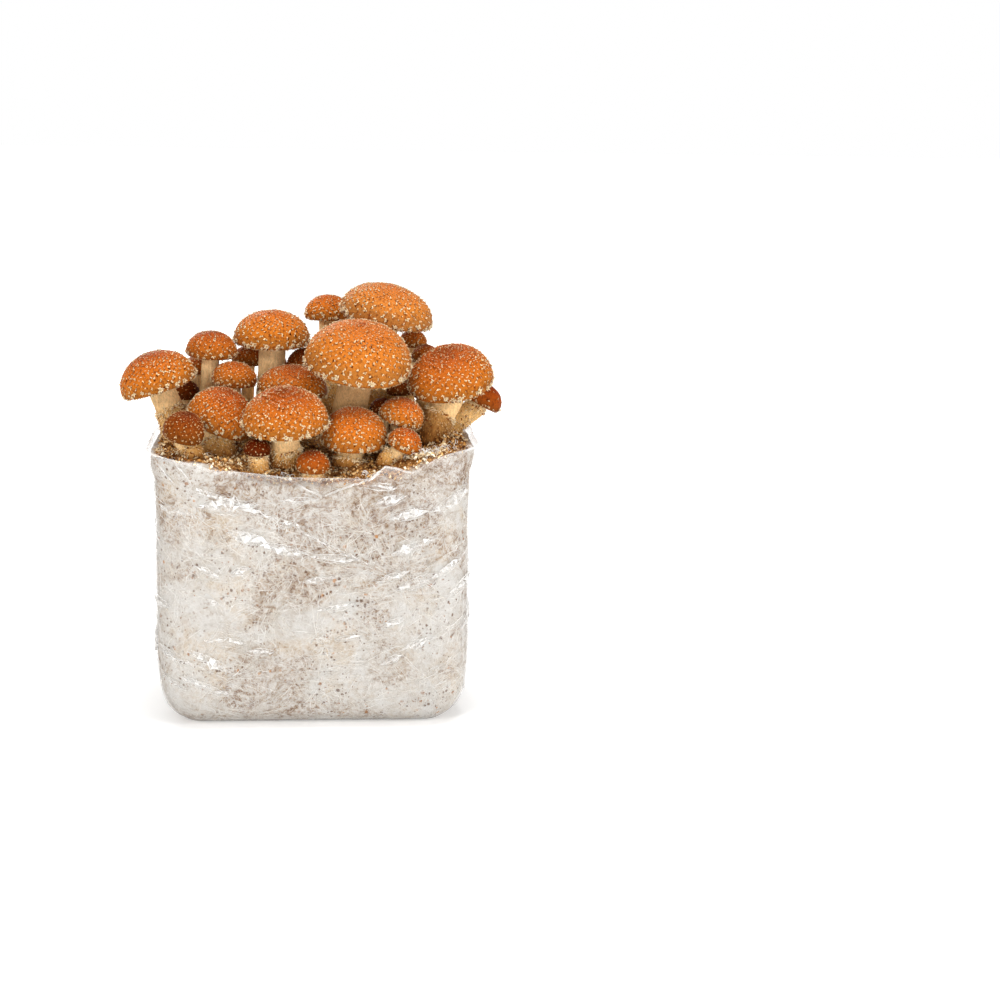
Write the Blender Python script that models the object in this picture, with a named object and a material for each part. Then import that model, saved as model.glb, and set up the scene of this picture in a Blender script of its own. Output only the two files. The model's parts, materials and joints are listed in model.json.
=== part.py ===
"""Chestnut mushroom grow kit: a colonised sawdust block in a clear film bag, with a cluster of
scaly orange-brown mushrooms growing out of its open top.

Run it with blender --background --python part.py, or from Blender's text editor.
The kit stands on z = 0 and its front faces -Y. Sizes below are in millimetres and become metres
where the meshes are made.
"""

import math
from collections import namedtuple

import bmesh
import bpy
from mathutils import Matrix, Vector, noise
from mathutils.bvhtree import BVHTree

MM = 0.001

# The bag: a gusseted film bag of 8 by 5 inches, filled out by its block.
BAG_WIDTH = 199.0
BAG_DEPTH = 130.0
BAG_CORNER = 30.0
FILM = 0.5
CLEARANCE = 0.45
# The wall's lumps: their height, their size, and the height below which they fade into the foot.
LUMP = 1.6
LUMP_SIZE = 38.0
LUMPS_FROM = 28.0

# Where the bag's wall stands at each level: height, and how far it is set in from the full outline.
FOOT_LEVELS = ((0.0, 17.5), (4.0, 11.0), (12.0, 4.5), (28.0, 0.7), (70.0, -0.6), (115.0, 0.4))
# At the same levels, how far the block's wall is in from the film: sideways and upwards.
FOOT_GAPS = ((0.5, 1.0), (0.8, 0.75), (1.0, 0.3), (1.0, 0.0), (1.0, 0.0), (1.0, 0.0))
CORNER_STEPS = 3
LONG_SIDE_STEPS = 6
SHORT_SIDE_STEPS = 3
# The film leans out at its cut rim: over its lip, and on the bag's left and right from deeper down.
RIM_FLARE = 1.6
SIDE_FLARE = 3.2
FLARE_DEPTH = 13.0

# Height of the bag's cut rim along the front, by x, then along the sides and back, by y.
FRONT_RIM = ((-98, 177), (-86, 174.5), (-71, 172.5), (-64, 169), (-38, 166.8), (-17, 164.3),
             (34, 163.2), (45, 171.5), (61, 167.5), (80, 177.5), (91, 179.5), (98, 181))
LEFT_RIM = ((-65, 177), (0, 176), (65, 174))
RIGHT_RIM = ((-65, 181), (0, 180), (65, 175))
BACK_RIM_DIP = 3.0
# The rim changes from its front line to its side line over this depth.
RIM_TURN = 30.0
# How far the film stands above the block's edge: in the middle of the front, and elsewhere.
LIP_FRONT = 6.5
LIP_SIDE = 5.0
# A fold in the film makes a peak in the front rim that the block's edge doesn't follow.
PEAK_X = 50.0
PEAK_HALF_WIDTH = 12.0
RIM_WITHOUT_PEAK = 166.0

# The block's top, from its edge inwards: share of the outline, and share of the way from the edge's
# height to the middle's.
TOP_RINGS = ((0.945, 0.12), (0.70, 0.55), (0.38, 0.9))
TOP_MIDDLE = 168.0
TOP_LUMP = 2.2
TOP_LUMP_SIZE = 24.0
EDGE_DROP = 4.0

# Stems rest on the block, and caps on their stems, with this much between the solids.
REST_GAP = 0.7
CAP_GAP = 0.3
# A height above everything, from which the ground is looked for.
ABOVE_ALL = 400.0

# A stem's radius at shares of its length, as shares of its own radius: large and small mushrooms.
STEM_PROFILE = ((0.0, 1.2), (0.22, 1.02), (0.6, 0.94))
SMALL_STEM_PROFILE = ((0.0, 1.2), (0.4, 0.98))
STEM_TOP = 0.9
STEM_CURVE = 0.4
# How far the shaggy scales of a stem's lower part stand out and in, as a share of its radius.
STEM_SCALES = 0.07

# A cap's dome: polar angle of each ring in degrees, from the crown to the widest ring.
DOME_ANGLES = (27.0, 50.0, 71.0, 90.0)
SCALED_BANDS = 3
# The lengths below are shares of the cap's radius, and MARGIN_DROP's of its height.
SCALE_HEIGHT = 0.08
MARGIN_TOOTH = 0.045
GILL_RIDGE = 0.03
HUB_RISE = 0.11
# The margin of an open cap, and how much more a young one's curls in and down.
MARGIN_RADIUS = (0.96, 0.14)
MARGIN_DROP = (0.15, 0.2)
# The flat patch for the stem is this much wider than the stem; the gills rise to their full height
# at this share of the way from it to the margin.
HUB_EDGE = 0.8
GILLS_FROM = 0.72

# centre: middle of the cap's widest ring. radius, height: of the dome above that ring. lean: to the
# right and to the front, in degrees. base: where the stem stands on the block. stem: its radius.
# button: 0 for an open cap, 1 for a young one whose margin still curls in to the stem.
Mushroom = namedtuple("Mushroom", "name centre radius height lean base stem button")
MUSHROOMS = (
    Mushroom("01", (-98.6, 2, 212.4), 24.7, 20.5, (-18, 2), (-86.5, -6), 9.4, 0.1),
    Mushroom("02", (-66.2, 26.5, 228.6), 17.3, 14.0, (3, 2), (-69, 25), 6.2, 0.3),
    Mushroom("03", (-26.8, 42, 235), 26.0, 19.3, (1, 2), (-29.5, 40), 9.8, 0.1),
    Mushroom("04", (-43, 59, 217), 11.5, 10.8, (0, -4), (-44.5, 53), 4.6, 0.4),
    Mushroom("05", (-51.2, 11, 212.6), 15.0, 12.2, (4, 3), (-46, 14), 5.2, 0.5),
    Mushroom("06", (-84, 34, 199), 10.6, 10.0, (0, 0), (-83, 32), 4.4, 0.6),
    Mushroom("07", (-78, 49, 212), 11.5, 9.8, (-6, -6), (-73, 45), 4.7, 0.5),
    Mushroom("08", (10.2, 71.5, 247.4), 16.0, 13.8, (0, 0), (12, 52), 6.7, 0.2),
    Mushroom("09", (-58.5, -16, 191.6), 22.0, 20.8, (20, 10), (-60, -21), 10.2, 0.4),
    Mushroom("10", (48.2, 46.5, 251.2), 32.0, 20.2, (11.5, 5), (46, 40), 10.4, 0.0),
    Mushroom("11", (29, -12, 228), 34.9, 27.0, (7, 12), (22, 13), 11.6, 0.1),
    Mushroom("12", (-5.2, 45, 217.2), 12.6, 11.6, (-5, 0), (-9, 44), 5.0, 0.4),
    Mushroom("13", (-13.5, 11, 206.2), 23.2, 16.2, (2, 5), (-14, 12), 8.5, 0.2),
    Mushroom("14", (-80.3, -46, 188.8), 14.0, 13.8, (14, 10), (-74, -46), 6.4, 0.7),
    Mushroom("15", (-17.4, -46, 196.4), 26.8, 21.2, (0, 12), (-17, -38), 9.2, 0.2),
    Mushroom("16", (-34.6, -50, 178), 8.9, 7.8, (0, 5), (-33.5, -51), 5.8, 0.6),
    Mushroom("17", (0, -56, 169.8), 11.2, 10.0, (0, 8), (0, -55), 6.2, 0.8),
    Mushroom("18", (25.6, -30.5, 183), 22.0, 19.6, (3, 8), (22.5, -32), 8.9, 0.4),
    Mushroom("19", (56.6, -18, 193.6), 14.8, 13.0, (18, 8), (54, -13), 5.8, 0.5),
    Mushroom("20", (45.2, 5, 193.4), 9.2, 9.0, (-5, 0), (45, 6), 3.9, 0.6),
    Mushroom("21", (57.5, -41, 180.2), 11.8, 11.0, (24, 5), (46, -42), 5.6, 0.6),
    Mushroom("22", (89.8, 4, 214.4), 28.6, 22.2, (-9, 16), (76, -4), 10.4, 0.1),
    Mushroom("23", (110.6, 16, 199.5), 13.8, 11.6, (30, 0), (89.5, 18), 7.0, 0.5),
    Mushroom("24", (67.2, 61, 230), 10.0, 9.2, (5, 0), (64, 54), 3.8, 0.6),
    Mushroom("25", (75, 42, 222), 10.8, 10.0, (5, 0), (72, 40), 4.2, 0.5),
    Mushroom("26", (57, 25, 203.5), 9.6, 9.0, (0, 0), (58, 23), 4.2, 0.6),
    Mushroom("27", (-60.5, 55, 195), 11.0, 10.6, (-4, -10), (-58, 50), 4.8, 0.4),
    Mushroom("28", (-24.5, 66.5, 213), 7.8, 8.8, (2, -6), (-22, 58), 4.0, 0.4),
)
# Caps of at least a radius: how many sides they have, and their stems.
FACETS = ((22.0, 16, 10), (12.0, 14, 8), (0.0, 10, 7))

FILM_COLOUR = (0.86, 0.87, 0.88, 0.35)
BLOCK_COLOUR = (0.80, 0.76, 0.70, 1.0)
CAP_COLOUR = (0.52, 0.16, 0.035, 1.0)
STEM_COLOUR = (0.74, 0.58, 0.36, 1.0)


def clear_scene():
    for obj in list(bpy.data.objects):
        bpy.data.objects.remove(obj, do_unlink=True)


def material(name, colour, roughness):
    made = bpy.data.materials.new(name)
    made.use_nodes = True
    made.diffuse_color = colour
    shader = made.node_tree.nodes["Principled BSDF"]
    shader.inputs["Base Color"].default_value = (*colour[:3], 1.0)
    shader.inputs["Alpha"].default_value = colour[3]
    shader.inputs["Roughness"].default_value = roughness
    shader.inputs["Metallic"].default_value = 0.0
    return made


def add_object(name, bm, mat, kit, location=(0, 0, 0), rotation=None, sharp_above=40.0):
    """Makes the bmesh, which is in millimetres about its own origin, into a named object."""
    bm.normal_update()
    bmesh.ops.scale(bm, vec=Vector((MM, MM, MM)), verts=bm.verts)
    mesh = bpy.data.meshes.new(name)
    bm.to_mesh(mesh)
    bm.free()
    mesh.materials.append(mat)
    mesh.set_sharp_from_angle(angle=math.radians(sharp_above))
    obj = bpy.data.objects.new(name, mesh)
    bpy.context.scene.collection.objects.link(obj)
    obj.parent = kit
    obj.location = Vector(location) * MM
    if rotation is not None:
        obj.rotation_euler = rotation.to_euler()


def between(table, at):
    """Reads a value from a table of (place, value) pairs, straight between its rows."""
    if at <= table[0][0]:
        return table[0][1]
    for (low, first), (high, second) in zip(table, table[1:]):
        if at <= high:
            return first + (second - first) * (at - low) / (high - low)
    return table[-1][1]


def outline(inset):
    """The bag's plan, a rounded rectangle set in by inset: (point, outward normal) in turn."""
    corner = BAG_CORNER - inset
    flat_x = BAG_WIDTH / 2 - BAG_CORNER
    flat_y = BAG_DEPTH / 2 - BAG_CORNER
    points = []
    for quarter, (sx, sy) in enumerate(((1, -1), (1, 1), (-1, 1), (-1, -1))):
        for step in range(CORNER_STEPS + 1):
            angle = math.radians(90.0 * (quarter - 1 + step / CORNER_STEPS))
            normal = Vector((math.cos(angle), math.sin(angle), 0))
            points.append((Vector((sx * flat_x, sy * flat_y, 0)) + normal * corner, normal))
        side_steps = SHORT_SIDE_STEPS if quarter % 2 == 0 else LONG_SIDE_STEPS
        angle = math.radians(90.0 * quarter)
        normal = Vector((math.cos(angle), math.sin(angle), 0))
        following = ((1, 1), (-1, 1), (-1, -1), (1, -1))[quarter]
        start = points[-1][0]
        end = Vector((following[0] * flat_x, following[1] * flat_y, 0)) + normal * corner
        for step in range(1, side_steps):
            points.append((start.lerp(end, step / side_steps), normal))
    return points


def rim_height(x, y):
    """Height of the bag's cut rim over the point (x, y) of its outline."""
    front = between(FRONT_RIM, x)
    side = between(LEFT_RIM if x < 0 else RIGHT_RIM, y)
    across = abs(x) / (BAG_WIDTH / 2)
    back = side - BACK_RIM_DIP * (1 - across)
    towards_back = min(max((y + BAG_DEPTH / 2) / RIM_TURN, 0.0), 1.0)
    return front + (back - front) * towards_back


def edge_height(x, y):
    """Height of the block's top edge, which the film's lip stands above."""
    front_share = min(max(-y / (BAG_DEPTH / 2), 0.0), 1.0) * (1 - (x / (BAG_WIDTH / 2)) ** 2)
    rim = rim_height(x, y)
    if abs(x - PEAK_X) < PEAK_HALF_WIDTH and y < 0:
        rim = min(rim, RIM_WITHOUT_PEAK)
    return rim - LIP_SIDE - (LIP_FRONT - LIP_SIDE) * front_share


def wall_bulge(point, height):
    """How far the wall's lumps stand out at a point of the outline and a height."""
    return LUMP * noise.noise(Vector((point.x, point.y, height)) / LUMP_SIZE)


def wall_ring(bm, level, sideways=0.0, upwards=0.0):
    """One ring of the bag's wall at a foot level, or of the block's wall a little inside it."""
    height, inset = level
    ring = []
    for point, normal in outline(inset):
        bulge = wall_bulge(point, height) * min(height / LUMPS_FROM, 1.0)
        place = point + normal * (bulge - sideways * (FILM + CLEARANCE))
        place.z = height + upwards * (FILM + CLEARANCE)
        ring.append(bm.verts.new(place))
    return ring


def top_ring(bm, height_at, outwards=0.0, side_flare=0.0, sideways=0.0):
    """A ring near the top of the wall, at a height that follows the outline."""
    ring = []
    for point, normal in outline(0.0):
        height = height_at(point.x, point.y)
        flare = outwards + side_flare * normal.x ** 2
        away = wall_bulge(point, height) + flare - sideways * (FILM + CLEARANCE)
        place = point + normal * away
        place.z = height
        ring.append(bm.verts.new(place))
    return ring


def bridge(bm, lower, upper):
    """Quads between two rings that run anticlockwise seen from above, facing outwards."""
    faces = []
    for i in range(len(lower)):
        j = (i + 1) % len(lower)
        faces.append(bm.faces.new((lower[i], lower[j], upper[j], upper[i])))
    return faces


def build_block(mat, kit):
    bm = bmesh.new()
    rings = [
        wall_ring(bm, level, sideways, upwards)
        for level, (sideways, upwards) in zip(FOOT_LEVELS, FOOT_GAPS)
    ]
    rings.append(top_ring(bm, lambda x, y: edge_height(x, y) - EDGE_DROP, sideways=1.0))
    edge = outline(FILM + CLEARANCE)
    for share, way_up in TOP_RINGS:
        ring = []
        for point, _ in edge:
            edge_z = edge_height(point.x, point.y)
            x, y = point.x * share, point.y * share
            lump = TOP_LUMP * noise.noise(Vector((x, y, 7.0)) / TOP_LUMP_SIZE)
            z = edge_z + (TOP_MIDDLE - edge_z) * way_up + lump
            ring.append(bm.verts.new((x, y, z)))
        rings.append(ring)
    for lower, upper in zip(rings, rings[1:]):
        bridge(bm, lower, upper)
    bm.faces.new(list(reversed(rings[0])))
    middle = bm.verts.new((0, 0, TOP_MIDDLE))
    last = rings[-1]
    for i, vert in enumerate(last):
        bm.faces.new((vert, last[(i + 1) % len(last)], middle))
    bmesh.ops.triangulate(bm, faces=bm.faces[:])
    surface = BVHTree.FromBMesh(bm)
    add_object("substrate_block", bm, mat, kit)
    return surface


def build_bag(mat, kit):
    """The film as a thin open shell: its outer face, its inner face and the rim between them."""
    bm = bmesh.new()
    shells = []
    for inner in (False, True):
        sides = FILM / (FILM + CLEARANCE) if inner else 0.0
        rings = [
            wall_ring(bm, level, sideways * sides, upwards * sides)
            for level, (sideways, upwards) in zip(FOOT_LEVELS, FOOT_GAPS)
        ]
        rings.append(top_ring(bm, lambda x, y: edge_height(x, y) - FLARE_DEPTH, sideways=sides))
        rings.append(top_ring(bm, edge_height, 0.0, SIDE_FLARE, sides))
        rings.append(top_ring(bm, rim_height, RIM_FLARE, SIDE_FLARE, sides))
        shells.append(rings)
    outer, inner = shells
    for lower, upper in zip(outer, outer[1:]):
        bridge(bm, lower, upper)
    for lower, upper in zip(inner, inner[1:]):
        bridge(bm, upper, lower)
    bridge(bm, outer[-1], inner[-1])
    bm.faces.new(list(reversed(outer[0])))
    bm.faces.new(inner[0])
    bmesh.ops.triangulate(bm, faces=bm.faces[:])
    add_object("film_bag", bm, mat, kit)


def facets(radius):
    """How many sides a cap of this radius has, and its stem."""
    for least_radius, cap_sides, stem_sides in FACETS:
        if radius >= least_radius:
            return cap_sides, stem_sides


def cap_rotation(mushroom):
    right, forward = mushroom.lean
    lean_forward = Matrix.Rotation(math.radians(forward), 3, "X")
    return lean_forward @ Matrix.Rotation(math.radians(right), 3, "Y")


def margin_of(mushroom):
    """(radius, height) of the margin's edge below the widest ring."""
    radius = (MARGIN_RADIUS[0] - MARGIN_RADIUS[1] * mushroom.button) * mushroom.radius
    return radius, -(MARGIN_DROP[0] + MARGIN_DROP[1] * mushroom.button) * mushroom.height


def hub_height(mushroom):
    """Height of the flat patch under the cap, where the stem joins it."""
    return margin_of(mushroom)[1] + HUB_RISE * mushroom.radius


def stem_top_radius(mushroom):
    return STEM_TOP * mushroom.stem


def uneven(mushroom, angle):
    """A cap's slightly uneven outline, as a share of its radius."""
    seed = 1.7 * int(mushroom.name)
    return 1 + 0.025 * math.sin(2 * angle + seed) + 0.018 * math.sin(3 * angle + 2.3 * seed)


def cap_ring(bm, mushroom, radius, height, sides, tooth=0.0):
    ring = []
    for i in range(sides):
        angle = 2 * math.pi * i / sides
        wide = radius * uneven(mushroom, angle)
        drop = tooth if i % 2 else 0.0
        place = (wide * math.cos(angle), wide * math.sin(angle), height - drop)
        ring.append(bm.verts.new(place))
    return ring


def raise_scale(bm, face, height):
    """Lifts a point of the dome's face into a scale that leans down towards the margin."""
    corners = sorted(face.verts, key=lambda vert: vert.co.z)
    lower = (corners[0].co + corners[1].co) / 2
    upper = (corners[2].co + corners[3].co) / 2
    tip = lower.lerp(upper, 0.3) + face.normal * height
    point = bmesh.ops.poke(bm, faces=[face])
    point["verts"][0].co = tip
    for side in point["faces"]:
        side.smooth = False


def build_cap(mushroom, mat, kit):
    """A domed cap with scales on it, a toothed margin, ridged gills and a flat patch for the stem."""
    bm = bmesh.new()
    radius, height = mushroom.radius, mushroom.height
    sides = facets(radius)[0]
    crown = bm.verts.new((0, 0, height))
    rings = []
    for polar in DOME_ANGLES:
        turn = math.radians(polar)
        rings.append(
            cap_ring(bm, mushroom, radius * math.sin(turn), height * math.cos(turn), sides)
        )
    margin_radius, margin_z = margin_of(mushroom)
    hub_radius = stem_top_radius(mushroom) + HUB_EDGE
    gill_radius = hub_radius + GILLS_FROM * (margin_radius - hub_radius)
    hub_z = hub_height(mushroom)
    tooth, ridge = MARGIN_TOOTH * radius, GILL_RIDGE * radius
    rings.append(cap_ring(bm, mushroom, margin_radius, margin_z, sides, tooth))
    rings.append(cap_ring(bm, mushroom, gill_radius, hub_z, sides, ridge))
    hub = cap_ring(bm, mushroom, hub_radius, hub_z, sides)
    rings.append(hub)
    for i, vert in enumerate(rings[0]):
        bm.faces.new((vert, rings[0][(i + 1) % sides], crown))
    bands = [bridge(bm, lower, upper) for upper, lower in zip(rings, rings[1:])]
    bm.faces.new(list(reversed(hub)))
    for face in bm.faces:
        face.smooth = True
    for k, band in enumerate(bands[:SCALED_BANDS]):
        for i, face in enumerate(band):
            if (i + k) % 2:
                raise_scale(bm, face, SCALE_HEIGHT * radius)
    bmesh.ops.triangulate(bm, faces=bm.faces[:])
    add_object(f"cap_{mushroom.name}", bm, mat, kit, mushroom.centre, cap_rotation(mushroom))


def stem_curve(start, end, axis, share):
    """A point on the stem's curve: upright at its foot, and along the cap's axis at its top."""
    reach = (end - start).length * STEM_CURVE
    first = start + Vector((0, 0, reach))
    second = end - axis * reach
    a = start.lerp(first, share)
    b = first.lerp(second, share)
    c = second.lerp(end, share)
    return a.lerp(b, share).lerp(b.lerp(c, share), share)


def ground_under(surface, foot, reach, angle, step):
    """Highest ground on the part of a round foot that lies up to a step either side of angle."""
    heights = []
    for turn in (-step, -step / 2, 0.0, step / 2, step):
        for share in (0.5, 0.75, 1.0, 1.12):
            x = foot.x + share * reach * math.cos(angle + turn)
            y = foot.y + share * reach * math.sin(angle + turn)
            hit = surface.ray_cast(Vector((x, y, ABOVE_ALL)), Vector((0, 0, -1)))[0]
            if hit is not None:
                heights.append(hit.z)
    return max(heights)


def build_stem(mushroom, surface, mat, kit):
    """A curved stem, a little stouter at its foot, from the block up to the cap's hub."""
    bm = bmesh.new()
    sides = facets(mushroom.radius)[1]
    rotation = cap_rotation(mushroom)
    axis = rotation @ Vector((0, 0, 1))
    top = Vector(mushroom.centre) + axis * (hub_height(mushroom) - CAP_GAP)
    foot = Vector((*mushroom.base, 0))
    profile = SMALL_STEM_PROFILE if sides == FACETS[-1][2] else STEM_PROFILE
    foot_radius = mushroom.stem * profile[0][1]
    foot.z = ground_under(surface, foot, foot_radius, 0.0, math.pi) + REST_GAP
    rings = []
    for share, wide in profile:
        centre = stem_curve(foot, top, axis, share)
        ahead = stem_curve(foot, top, axis, share + 0.02) - centre
        across = Vector((1, 0, 0)) - ahead * (ahead.x / ahead.length_squared)
        across.normalize()
        along = ahead.normalized().cross(across)
        ring = []
        for i in range(sides):
            angle = 2 * math.pi * i / sides
            rough = 1 + STEM_SCALES * (1 - share) * (1 if i % 2 else -1)
            arm = across * math.cos(angle) + along * math.sin(angle)
            arm *= mushroom.stem * wide * rough
            ring.append(bm.verts.new(centre + arm - foot))
        rings.append(ring)
    for i, vert in enumerate(rings[0]):
        angle = 2 * math.pi * i / sides
        height = ground_under(surface, foot, foot_radius, angle, math.pi / sides) + REST_GAP
        arm = Vector((math.cos(angle), math.sin(angle), 0)) * foot_radius
        vert.co = arm + Vector((0, 0, height - foot.z))
    top_arms = []
    for i in range(sides):
        angle = 2 * math.pi * i / sides
        arm = rotation @ Vector((math.cos(angle), math.sin(angle), 0)) * stem_top_radius(mushroom)
        top_arms.append(bm.verts.new(top + arm - foot))
    rings.append(top_arms)
    for lower, upper in zip(rings, rings[1:]):
        bridge(bm, lower, upper)
    under = bm.verts.new((0, 0, 0))
    for i, vert in enumerate(rings[0]):
        bm.faces.new((rings[0][(i + 1) % sides], vert, under))
    bm.faces.new(rings[-1])
    bmesh.ops.triangulate(bm, faces=bm.faces[:])
    add_object(f"stem_{mushroom.name}", bm, mat, kit, foot)


def centre_on_foot(kit):
    """Moves the kit so that the middle of its bounding box stands over the origin."""
    bpy.context.view_layer.update()
    corners = [obj.matrix_world @ vert.co for obj in kit.children for vert in obj.data.vertices]
    for axis in (0, 1):
        values = [corner[axis] for corner in corners]
        kit.location[axis] = -(min(values) + max(values)) / 2


def main():
    clear_scene()
    kit = bpy.data.objects.new("grow_kit", None)
    bpy.context.scene.collection.objects.link(kit)
    film = material("film", FILM_COLOUR, 0.15)
    mycelium = material("mycelium", BLOCK_COLOUR, 0.9)
    cap_skin = material("cap_skin", CAP_COLOUR, 0.55)
    stem_flesh = material("stem_flesh", STEM_COLOUR, 0.8)
    surface = build_block(mycelium, kit)
    build_bag(film, kit)
    for mushroom in MUSHROOMS:
        build_cap(mushroom, cap_skin, kit)
        build_stem(mushroom, surface, stem_flesh, kit)
    centre_on_foot(kit)


main()
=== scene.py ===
"""Looks of the chestnut mushroom grow kit: caps with scales and gills, shaggy stems, the block of
sawdust and mycelium with its crumbs and strands, and the crinkled clear film round it.

They become metres where the meshes are made.
"""

import json
import math
from collections import namedtuple

import bpy
import numpy as np
from mathutils import Matrix, Vector, noise
from mathutils.bvhtree import BVHTree

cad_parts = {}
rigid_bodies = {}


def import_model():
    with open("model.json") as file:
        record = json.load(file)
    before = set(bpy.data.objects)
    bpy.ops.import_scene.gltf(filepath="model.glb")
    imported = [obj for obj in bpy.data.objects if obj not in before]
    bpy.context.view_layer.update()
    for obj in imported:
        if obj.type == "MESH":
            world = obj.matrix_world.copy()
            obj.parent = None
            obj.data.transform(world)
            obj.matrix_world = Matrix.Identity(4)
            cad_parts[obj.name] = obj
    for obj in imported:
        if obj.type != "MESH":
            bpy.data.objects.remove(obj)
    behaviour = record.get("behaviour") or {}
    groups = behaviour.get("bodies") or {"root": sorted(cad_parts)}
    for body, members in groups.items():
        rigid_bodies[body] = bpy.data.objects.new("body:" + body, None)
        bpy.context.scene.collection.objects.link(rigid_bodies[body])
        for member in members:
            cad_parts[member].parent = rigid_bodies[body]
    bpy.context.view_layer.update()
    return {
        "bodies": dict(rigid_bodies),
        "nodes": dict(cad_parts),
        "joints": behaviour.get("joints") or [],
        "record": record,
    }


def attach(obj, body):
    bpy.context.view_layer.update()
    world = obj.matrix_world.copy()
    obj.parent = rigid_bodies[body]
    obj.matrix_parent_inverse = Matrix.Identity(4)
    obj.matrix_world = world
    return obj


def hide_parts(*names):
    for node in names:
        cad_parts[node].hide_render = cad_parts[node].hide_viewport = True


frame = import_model()
MM = 0.001
rng = np.random.default_rng(28)

# The bag, as its solid was made.
BAG_WIDTH = 199.0
BAG_DEPTH = 130.0
BAG_CORNER = 30.0
LUMP = 1.6
LUMP_SIZE = 38.0
LUMPS_FROM = 28.0
FOOT_INSET = 17.5
FOOT_CURVE = 8.8
FRONT_RIM = ((-98, 177), (-86, 174.5), (-71, 172.5), (-64, 169), (-38, 166.8), (-17, 164.3),
             (34, 163.2), (45, 171.5), (61, 167.5), (80, 177.5), (91, 179.5), (98, 181))
LEFT_RIM = ((-65, 177), (0, 176), (65, 174))
RIGHT_RIM = ((-65, 181), (0, 180), (65, 175))
BACK_RIM_DIP = 3.0
# How far behind the front the rim has turned into its side's height.
RIM_TURN = 30.0
# A fold peaks in the front rim here. The block's edge keeps to the rim as it is without the peak.
PEAK_X = 50.0
PEAK_HALF_WIDTH = 12.0
RIM_WITHOUT_PEAK = 166.0
RIM_FLARE = 1.6
# The film leans out on the bag's left and right, from this far below the block's edge.
SIDE_FLARE = 3.2
FLARE_DEPTH = 13.0
LIP_FRONT = 6.5
LIP_SIDE = 5.0
TOP_RINGS = ((0.0, 1.0), (0.38, 0.9), (0.70, 0.55), (0.945, 0.12), (1.0, 0.0))
TOP_MIDDLE = 168.0
TOP_LUMP = 2.2
TOP_LUMP_SIZE = 24.0
# No part of the block's top is lower than this, and rays for its height start from above all.
TOP_LOWEST = 150.0
ABOVE_ALL = 400.0

# centre: middle of the cap's widest ring. radius, height: of the dome above that ring. lean: to the
# right and to the front, in degrees. base: where the stem stands on the block. stem: its radius.
# button: 0 for an open cap, 1 for a young one whose margin still curls in to the stem.
Mushroom = namedtuple("Mushroom", "name centre radius height lean base stem button")
MUSHROOMS = (
    Mushroom("01", (-98.6, 2, 212.4), 24.7, 20.5, (-18, 2), (-86.5, -6), 9.4, 0.1),
    Mushroom("02", (-66.2, 26.5, 228.6), 17.3, 14.0, (3, 2), (-69, 25), 6.2, 0.3),
    Mushroom("03", (-26.8, 42, 235), 26.0, 19.3, (1, 2), (-29.5, 40), 9.8, 0.1),
    Mushroom("04", (-43, 59, 217), 11.5, 10.8, (0, -4), (-44.5, 53), 4.6, 0.4),
    Mushroom("05", (-51.2, 11, 212.6), 15.0, 12.2, (4, 3), (-46, 14), 5.2, 0.5),
    Mushroom("06", (-84, 34, 199), 10.6, 10.0, (0, 0), (-83, 32), 4.4, 0.6),
    Mushroom("07", (-78, 49, 212), 11.5, 9.8, (-6, -6), (-73, 45), 4.7, 0.5),
    Mushroom("08", (10.2, 71.5, 247.4), 16.0, 13.8, (0, 0), (12, 52), 6.7, 0.2),
    Mushroom("09", (-58.5, -16, 191.6), 22.0, 20.8, (20, 10), (-60, -21), 10.2, 0.4),
    Mushroom("10", (48.2, 46.5, 251.2), 32.0, 20.2, (11.5, 5), (46, 40), 10.4, 0.0),
    Mushroom("11", (29, -12, 228), 34.9, 27.0, (7, 12), (22, 13), 11.6, 0.1),
    Mushroom("12", (-5.2, 45, 217.2), 12.6, 11.6, (-5, 0), (-9, 44), 5.0, 0.4),
    Mushroom("13", (-13.5, 11, 206.2), 23.2, 16.2, (2, 5), (-14, 12), 8.5, 0.2),
    Mushroom("14", (-80.3, -46, 188.8), 14.0, 13.8, (14, 10), (-74, -46), 6.4, 0.7),
    Mushroom("15", (-17.4, -46, 196.4), 26.8, 21.2, (0, 12), (-17, -38), 9.2, 0.2),
    Mushroom("16", (-34.6, -50, 178), 8.9, 7.8, (0, 5), (-33.5, -51), 5.8, 0.6),
    Mushroom("17", (0, -56, 169.8), 11.2, 10.0, (0, 8), (0, -55), 6.2, 0.8),
    Mushroom("18", (25.6, -30.5, 183), 22.0, 19.6, (3, 8), (22.5, -32), 8.9, 0.4),
    Mushroom("19", (56.6, -18, 193.6), 14.8, 13.0, (18, 8), (54, -13), 5.8, 0.5),
    Mushroom("20", (45.2, 5, 193.4), 9.2, 9.0, (-5, 0), (45, 6), 3.9, 0.6),
    Mushroom("21", (57.5, -41, 180.2), 11.8, 11.0, (24, 5), (46, -42), 5.6, 0.6),
    Mushroom("22", (89.8, 4, 214.4), 28.6, 22.2, (-9, 16), (76, -4), 10.4, 0.1),
    Mushroom("23", (110.6, 16, 199.5), 13.8, 11.6, (30, 0), (89.5, 18), 7.0, 0.5),
    Mushroom("24", (67.2, 61, 230), 10.0, 9.2, (5, 0), (64, 54), 3.8, 0.6),
    Mushroom("25", (75, 42, 222), 10.8, 10.0, (5, 0), (72, 40), 4.2, 0.5),
    Mushroom("26", (57, 25, 203.5), 9.6, 9.0, (0, 0), (58, 23), 4.2, 0.6),
    Mushroom("27", (-60.5, 55, 195), 11.0, 10.6, (-4, -10), (-58, 50), 4.8, 0.4),
    Mushroom("28", (-24.5, 66.5, 213), 7.8, 8.8, (2, -6), (-22, 58), 4.0, 0.4),
)
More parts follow.
